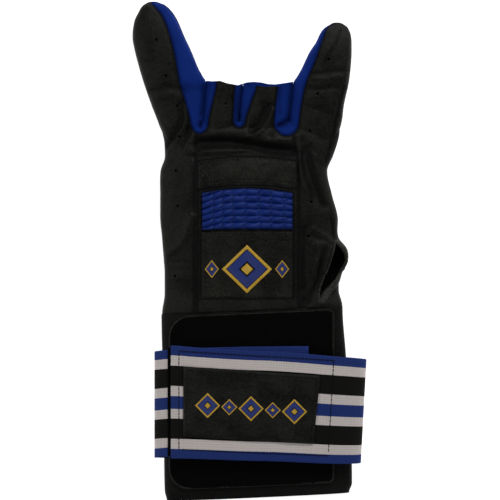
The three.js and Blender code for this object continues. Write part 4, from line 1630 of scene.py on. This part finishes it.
def sew(name, rows, material):
    """Rows of stitches: a line of places, a surface, a stitch length, a gap and a thread radius."""
    shape = bmesh.new()
    count = 0
    for line, surface, length, space, radius in rows:
        points = along_line(line, stitch_step)
        pitch = max(2, round((length + space) / stitch_step))
        reach = max(1, round(length / stitch_step))
        for start in range(0, len(points) - reach, pitch):
            ends = []
            for point in (points[start], points[start + reach]):
                hit = surface.ray_cast(Vector((point.x, point.y, far_above)), Vector((0, 0, -1)))[0]
                if hit:
                    ends.append(hit)
            if len(ends) < 2 or abs(ends[0].z - ends[1].z) > length:
                continue
            middle = (ends[0] + ends[1]) / 2 + Vector((0, 0, radius * 0.45))
            along = ends[1] - ends[0]
            turn = along.to_track_quat("X", "Z").to_matrix().to_4x4()
            sized = Matrix.Diagonal((along.length / 2 + radius, radius, radius, 1))
            deep = Matrix.Translation(middle) @ turn @ sized
            bmesh.ops.create_uvsphere(shape, u_segments=6, v_segments=5, radius=1, matrix=deep)
            count += 1
    print(name, count, "stitches")
    return make(name, shape, material)


def shares_between(start, end, steps):
    """Pairs of shares along a straight line, each across and up."""
    run = (end[0] - start[0], end[1] - start[1])
    return [(start[0] + run[0] * t, start[1] + run[1] * t) for t in spread(0, 1, steps)]


def on_panel(name, start, end):
    """A line on a panel between two shares of its width and height."""
    return [panel_place(panel_shapes[name], *shares) for shares in shares_between(start, end, 24)]


panel_lines = [
    ("knuckle_panel", (0.02, 0.12), (0.98, 0.12), knuckle_skin, 1.5 * mm, 0.7 * mm),
    ("knuckle_panel", (0.02, 0.24), (0.98, 0.24), knuckle_skin, 1.5 * mm, 0.7 * mm),
    ("knuckle_panel", (0.03, 0.93), (0.97, 0.93), knuckle_skin, 1.5 * mm, 0.9 * mm),
    ("back_patch", (0.05, 0.03), (0.05, 0.97), patch_skin, 1.6 * mm, 0.8 * mm),
    ("back_patch", (0.95, 0.03), (0.95, 0.97), patch_skin, 1.6 * mm, 0.8 * mm),
    ("back_patch", (0.05, 0.97), (0.95, 0.97), patch_skin, 1.6 * mm, 0.8 * mm),
    ("back_patch", (0.05, 0.04), (0.95, 0.04), patch_skin, 1.6 * mm, 0.8 * mm),
]
panel_sewing = [(on_panel(*line[:3]), *line[3:], 0.22 * mm) for line in panel_lines]
panel_stitches = sew("panel_stitches", panel_sewing, black_thread)
flex_sewing = []
for column in pinch_places:
    across = panel_share(flex_shape, column)
    flex_line = on_panel("flex_panel", (across, 0.02), (across, 0.98))
    flex_sewing.append((flex_line, flex_skin, 1.1 * mm, 0.9 * mm, 0.2 * mm))
flex_stitches = sew("flex_stitches", flex_sewing, black_thread)
low_across, high_across, low_up, high_up = 0.025, 0.975, 0.045, 0.955
label_lines = [
    ((low_across, low_up), (high_across, low_up)),
    ((low_across, high_up), (high_across, high_up)),
    ((low_across, low_up), (low_across, high_up)),
    ((high_across, low_up), (high_across, high_up)),
]
label_rows = []
for start, end in label_lines:
    places = [label_place(*shares) for shares in shares_between(start, end, 12)]
    label_rows.append((places, label_skin, 1.7 * mm, 0.8 * mm, 0.22 * mm))
label_stitches = sew("label_stitches", label_rows, black_thread)
strap_box = [spot(179.5, 350.3), spot(333, 359.5), spot(327.5, 454), spot(179.5, 447.5)]
strap_lines = list(zip(strap_box, strap_box[1:] + strap_box[:1]))
strap_rows_of_stitches = [(list(line), strap_skin, 1.9 * mm, 0.5 * mm, 0.30 * mm) for line in strap_lines]
strap_stitches = sew("strap_stitches", strap_rows_of_stitches, black_thread)

# %% [markdown]
# ## What each piece is
# Leather goes on the shell and the cuff, blue cloth on the walls and the lining. Then every piece is listed
# under a slot's name, rides on the glove's one body, and stands for the imported solids.

# %% Dress the pieces and paint shade into their creases
wall_pieces = [wall["piece"] for wall in cloth_walls]
laid_pieces = [knuckles, patch, flex]
dress(shell, glove_leather)
dress(cuff, cuff_leather)
for piece in [rim_lining, *wall_pieces]:
    dress(piece, blue_cloth)
# Points this far below the outer skin lie on the inner side of the wall and get full painted shade.
inner_from = 0.3 * mm
inner_over = 0.5 * mm


def paint_crease_shading(piece):
    """Stores the painted shading of each point: painted shade in creases, and 1, full painted shade, on the
    inner side of the wall.
    """
    layer = piece.data.attributes.new("crease", "FLOAT", "POINT")
    for vert, stored in zip(piece.data.vertices, layer.data):
        away = outer_skin.find_nearest(vert.co)[3]
        inner = 0.0 if piece in laid_pieces else limited((away - inner_from) / inner_over)
        on_back = vert.co.z > seam_height
        stored.value = max(inner, painted_shading_at(vert.co.x, vert.co.y)) if on_back else inner


for piece in [shell, *laid_pieces, *wall_pieces]:
    paint_crease_shading(piece)
print("creases marked on", 1 + len(laid_pieces) + len(wall_pieces), "pieces")

# %% List the pieces by slot, put them on one body, and hide the solids they stand for
slots = {
    "leather": [shell, cuff, knuckles, patch, thumb_hem, label, piping, panel_stitches, label_stitches],
    "blue_cloth": [rim_lining, flex, flex_stitches, *wall_pieces, *patch_motif, *label_motif],
    "black_pile": [pile],
    "striped_elastic": [strap, strap_stitches, hook_tape],
}
for slot_name, pieces in slots.items():
    for piece in pieces:
        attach(piece, "root")
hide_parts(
    "palm_leather", "back_leather", "long_finger_back", "long_finger_palm", "short_finger_back",
    "short_finger_palm",
)
for wall in cloth_walls:
    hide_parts(wall["name"])
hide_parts("knuckle_panel")
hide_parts("flex_panel")
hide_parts("back_patch")
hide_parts("thumb_binding")
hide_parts("cuff")
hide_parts("loop_panel")
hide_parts("wrist_strap")
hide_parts("strap_label")


def cloth_area(piece):
    """The area of one side of a thin piece, in square metres."""
    return sum(face.area for face in piece.data.polygons) / 2


flex_width = (flex_shape["right"] - flex_shape["left"]) * hand_width
pile_size = (pile_box["right"] - pile_box["left"], pile_box["top"] - pile_box["bottom"])
band_size = (strap_width, strap_length)
flex_size = (flex_width, cloth_area(flex) / flex_width)
for cloth_name, size in [("band", band_size), ("pile panel", pile_size), ("shirred cloth", flex_size)]:
    print(cloth_name, "flat:", [round(side * 1000, 1) for side in size], "mm")
print(sum(len(pieces) for pieces in slots.values()), "pieces")

# %% [markdown]
# ## The picture
# The glove lies on a plain white table. The camera looks straight down through a long lens. Two
# low soft lights graze the leather, so its folds catch a sheen while the flat parts stay black.

# %% Table, lights and camera
floor_drop = 0.2 * mm
table_top = grid(1, 1, half=3.0)
floor_finish = Finish("white table")
floor_finish.surface(
    Base_Color=(0.92, 0.92, 0.92, 1), Roughness=0.9, Emission_Color=(1, 1, 1, 1), Emission_Strength=0.85,
    Specular_IOR_Level=0.1,
)
floor = make("table", table_top, floor_finish.material)
for vert in floor.data.vertices:
    vert.co.z = -floor_drop


def soft_light(name, place, size, power):
    lamp = bpy.data.lights.new(name, "AREA")
    lamp.shape = "RECTANGLE"
    lamp.size, lamp.size_y = size
    lamp.energy = power
    light = bpy.data.objects.new(name, lamp)
    light.location = place
    light.rotation_euler = (-Vector(place)).to_track_quat("-Z", "Y").to_euler()
    bpy.context.scene.collection.objects.link(light)
    return light


soft_light("key", (0.35, 1.00, 0.75), (0.5, 0.35), 7.5)
soft_light("fill", (-0.85, 0.10, 0.80), (0.5, 0.5), 3.0)
soft_light("low", (0.45, -0.85, 0.70), (0.5, 0.4), 2.0)
world = bpy.data.worlds.new("room")
world.use_nodes = True
world.node_tree.nodes["Background"].inputs["Color"].default_value = (0.035, 0.035, 0.037, 1)
bpy.context.scene.world = world
bpy.context.scene.view_settings.view_transform = "Standard"

camera_height = 1.5
middle_height = 12 * mm
picture_width = 500 * photo_pixel
lens = bpy.data.cameras.new("camera")
lens.lens = lens.sensor_width * (camera_height - middle_height) / picture_width
camera = bpy.data.objects.new("camera", lens)
camera.location = (photo_centre.x, photo_centre.y, camera_height)
bpy.context.scene.collection.objects.link(camera)
bpy.context.scene.camera = camera
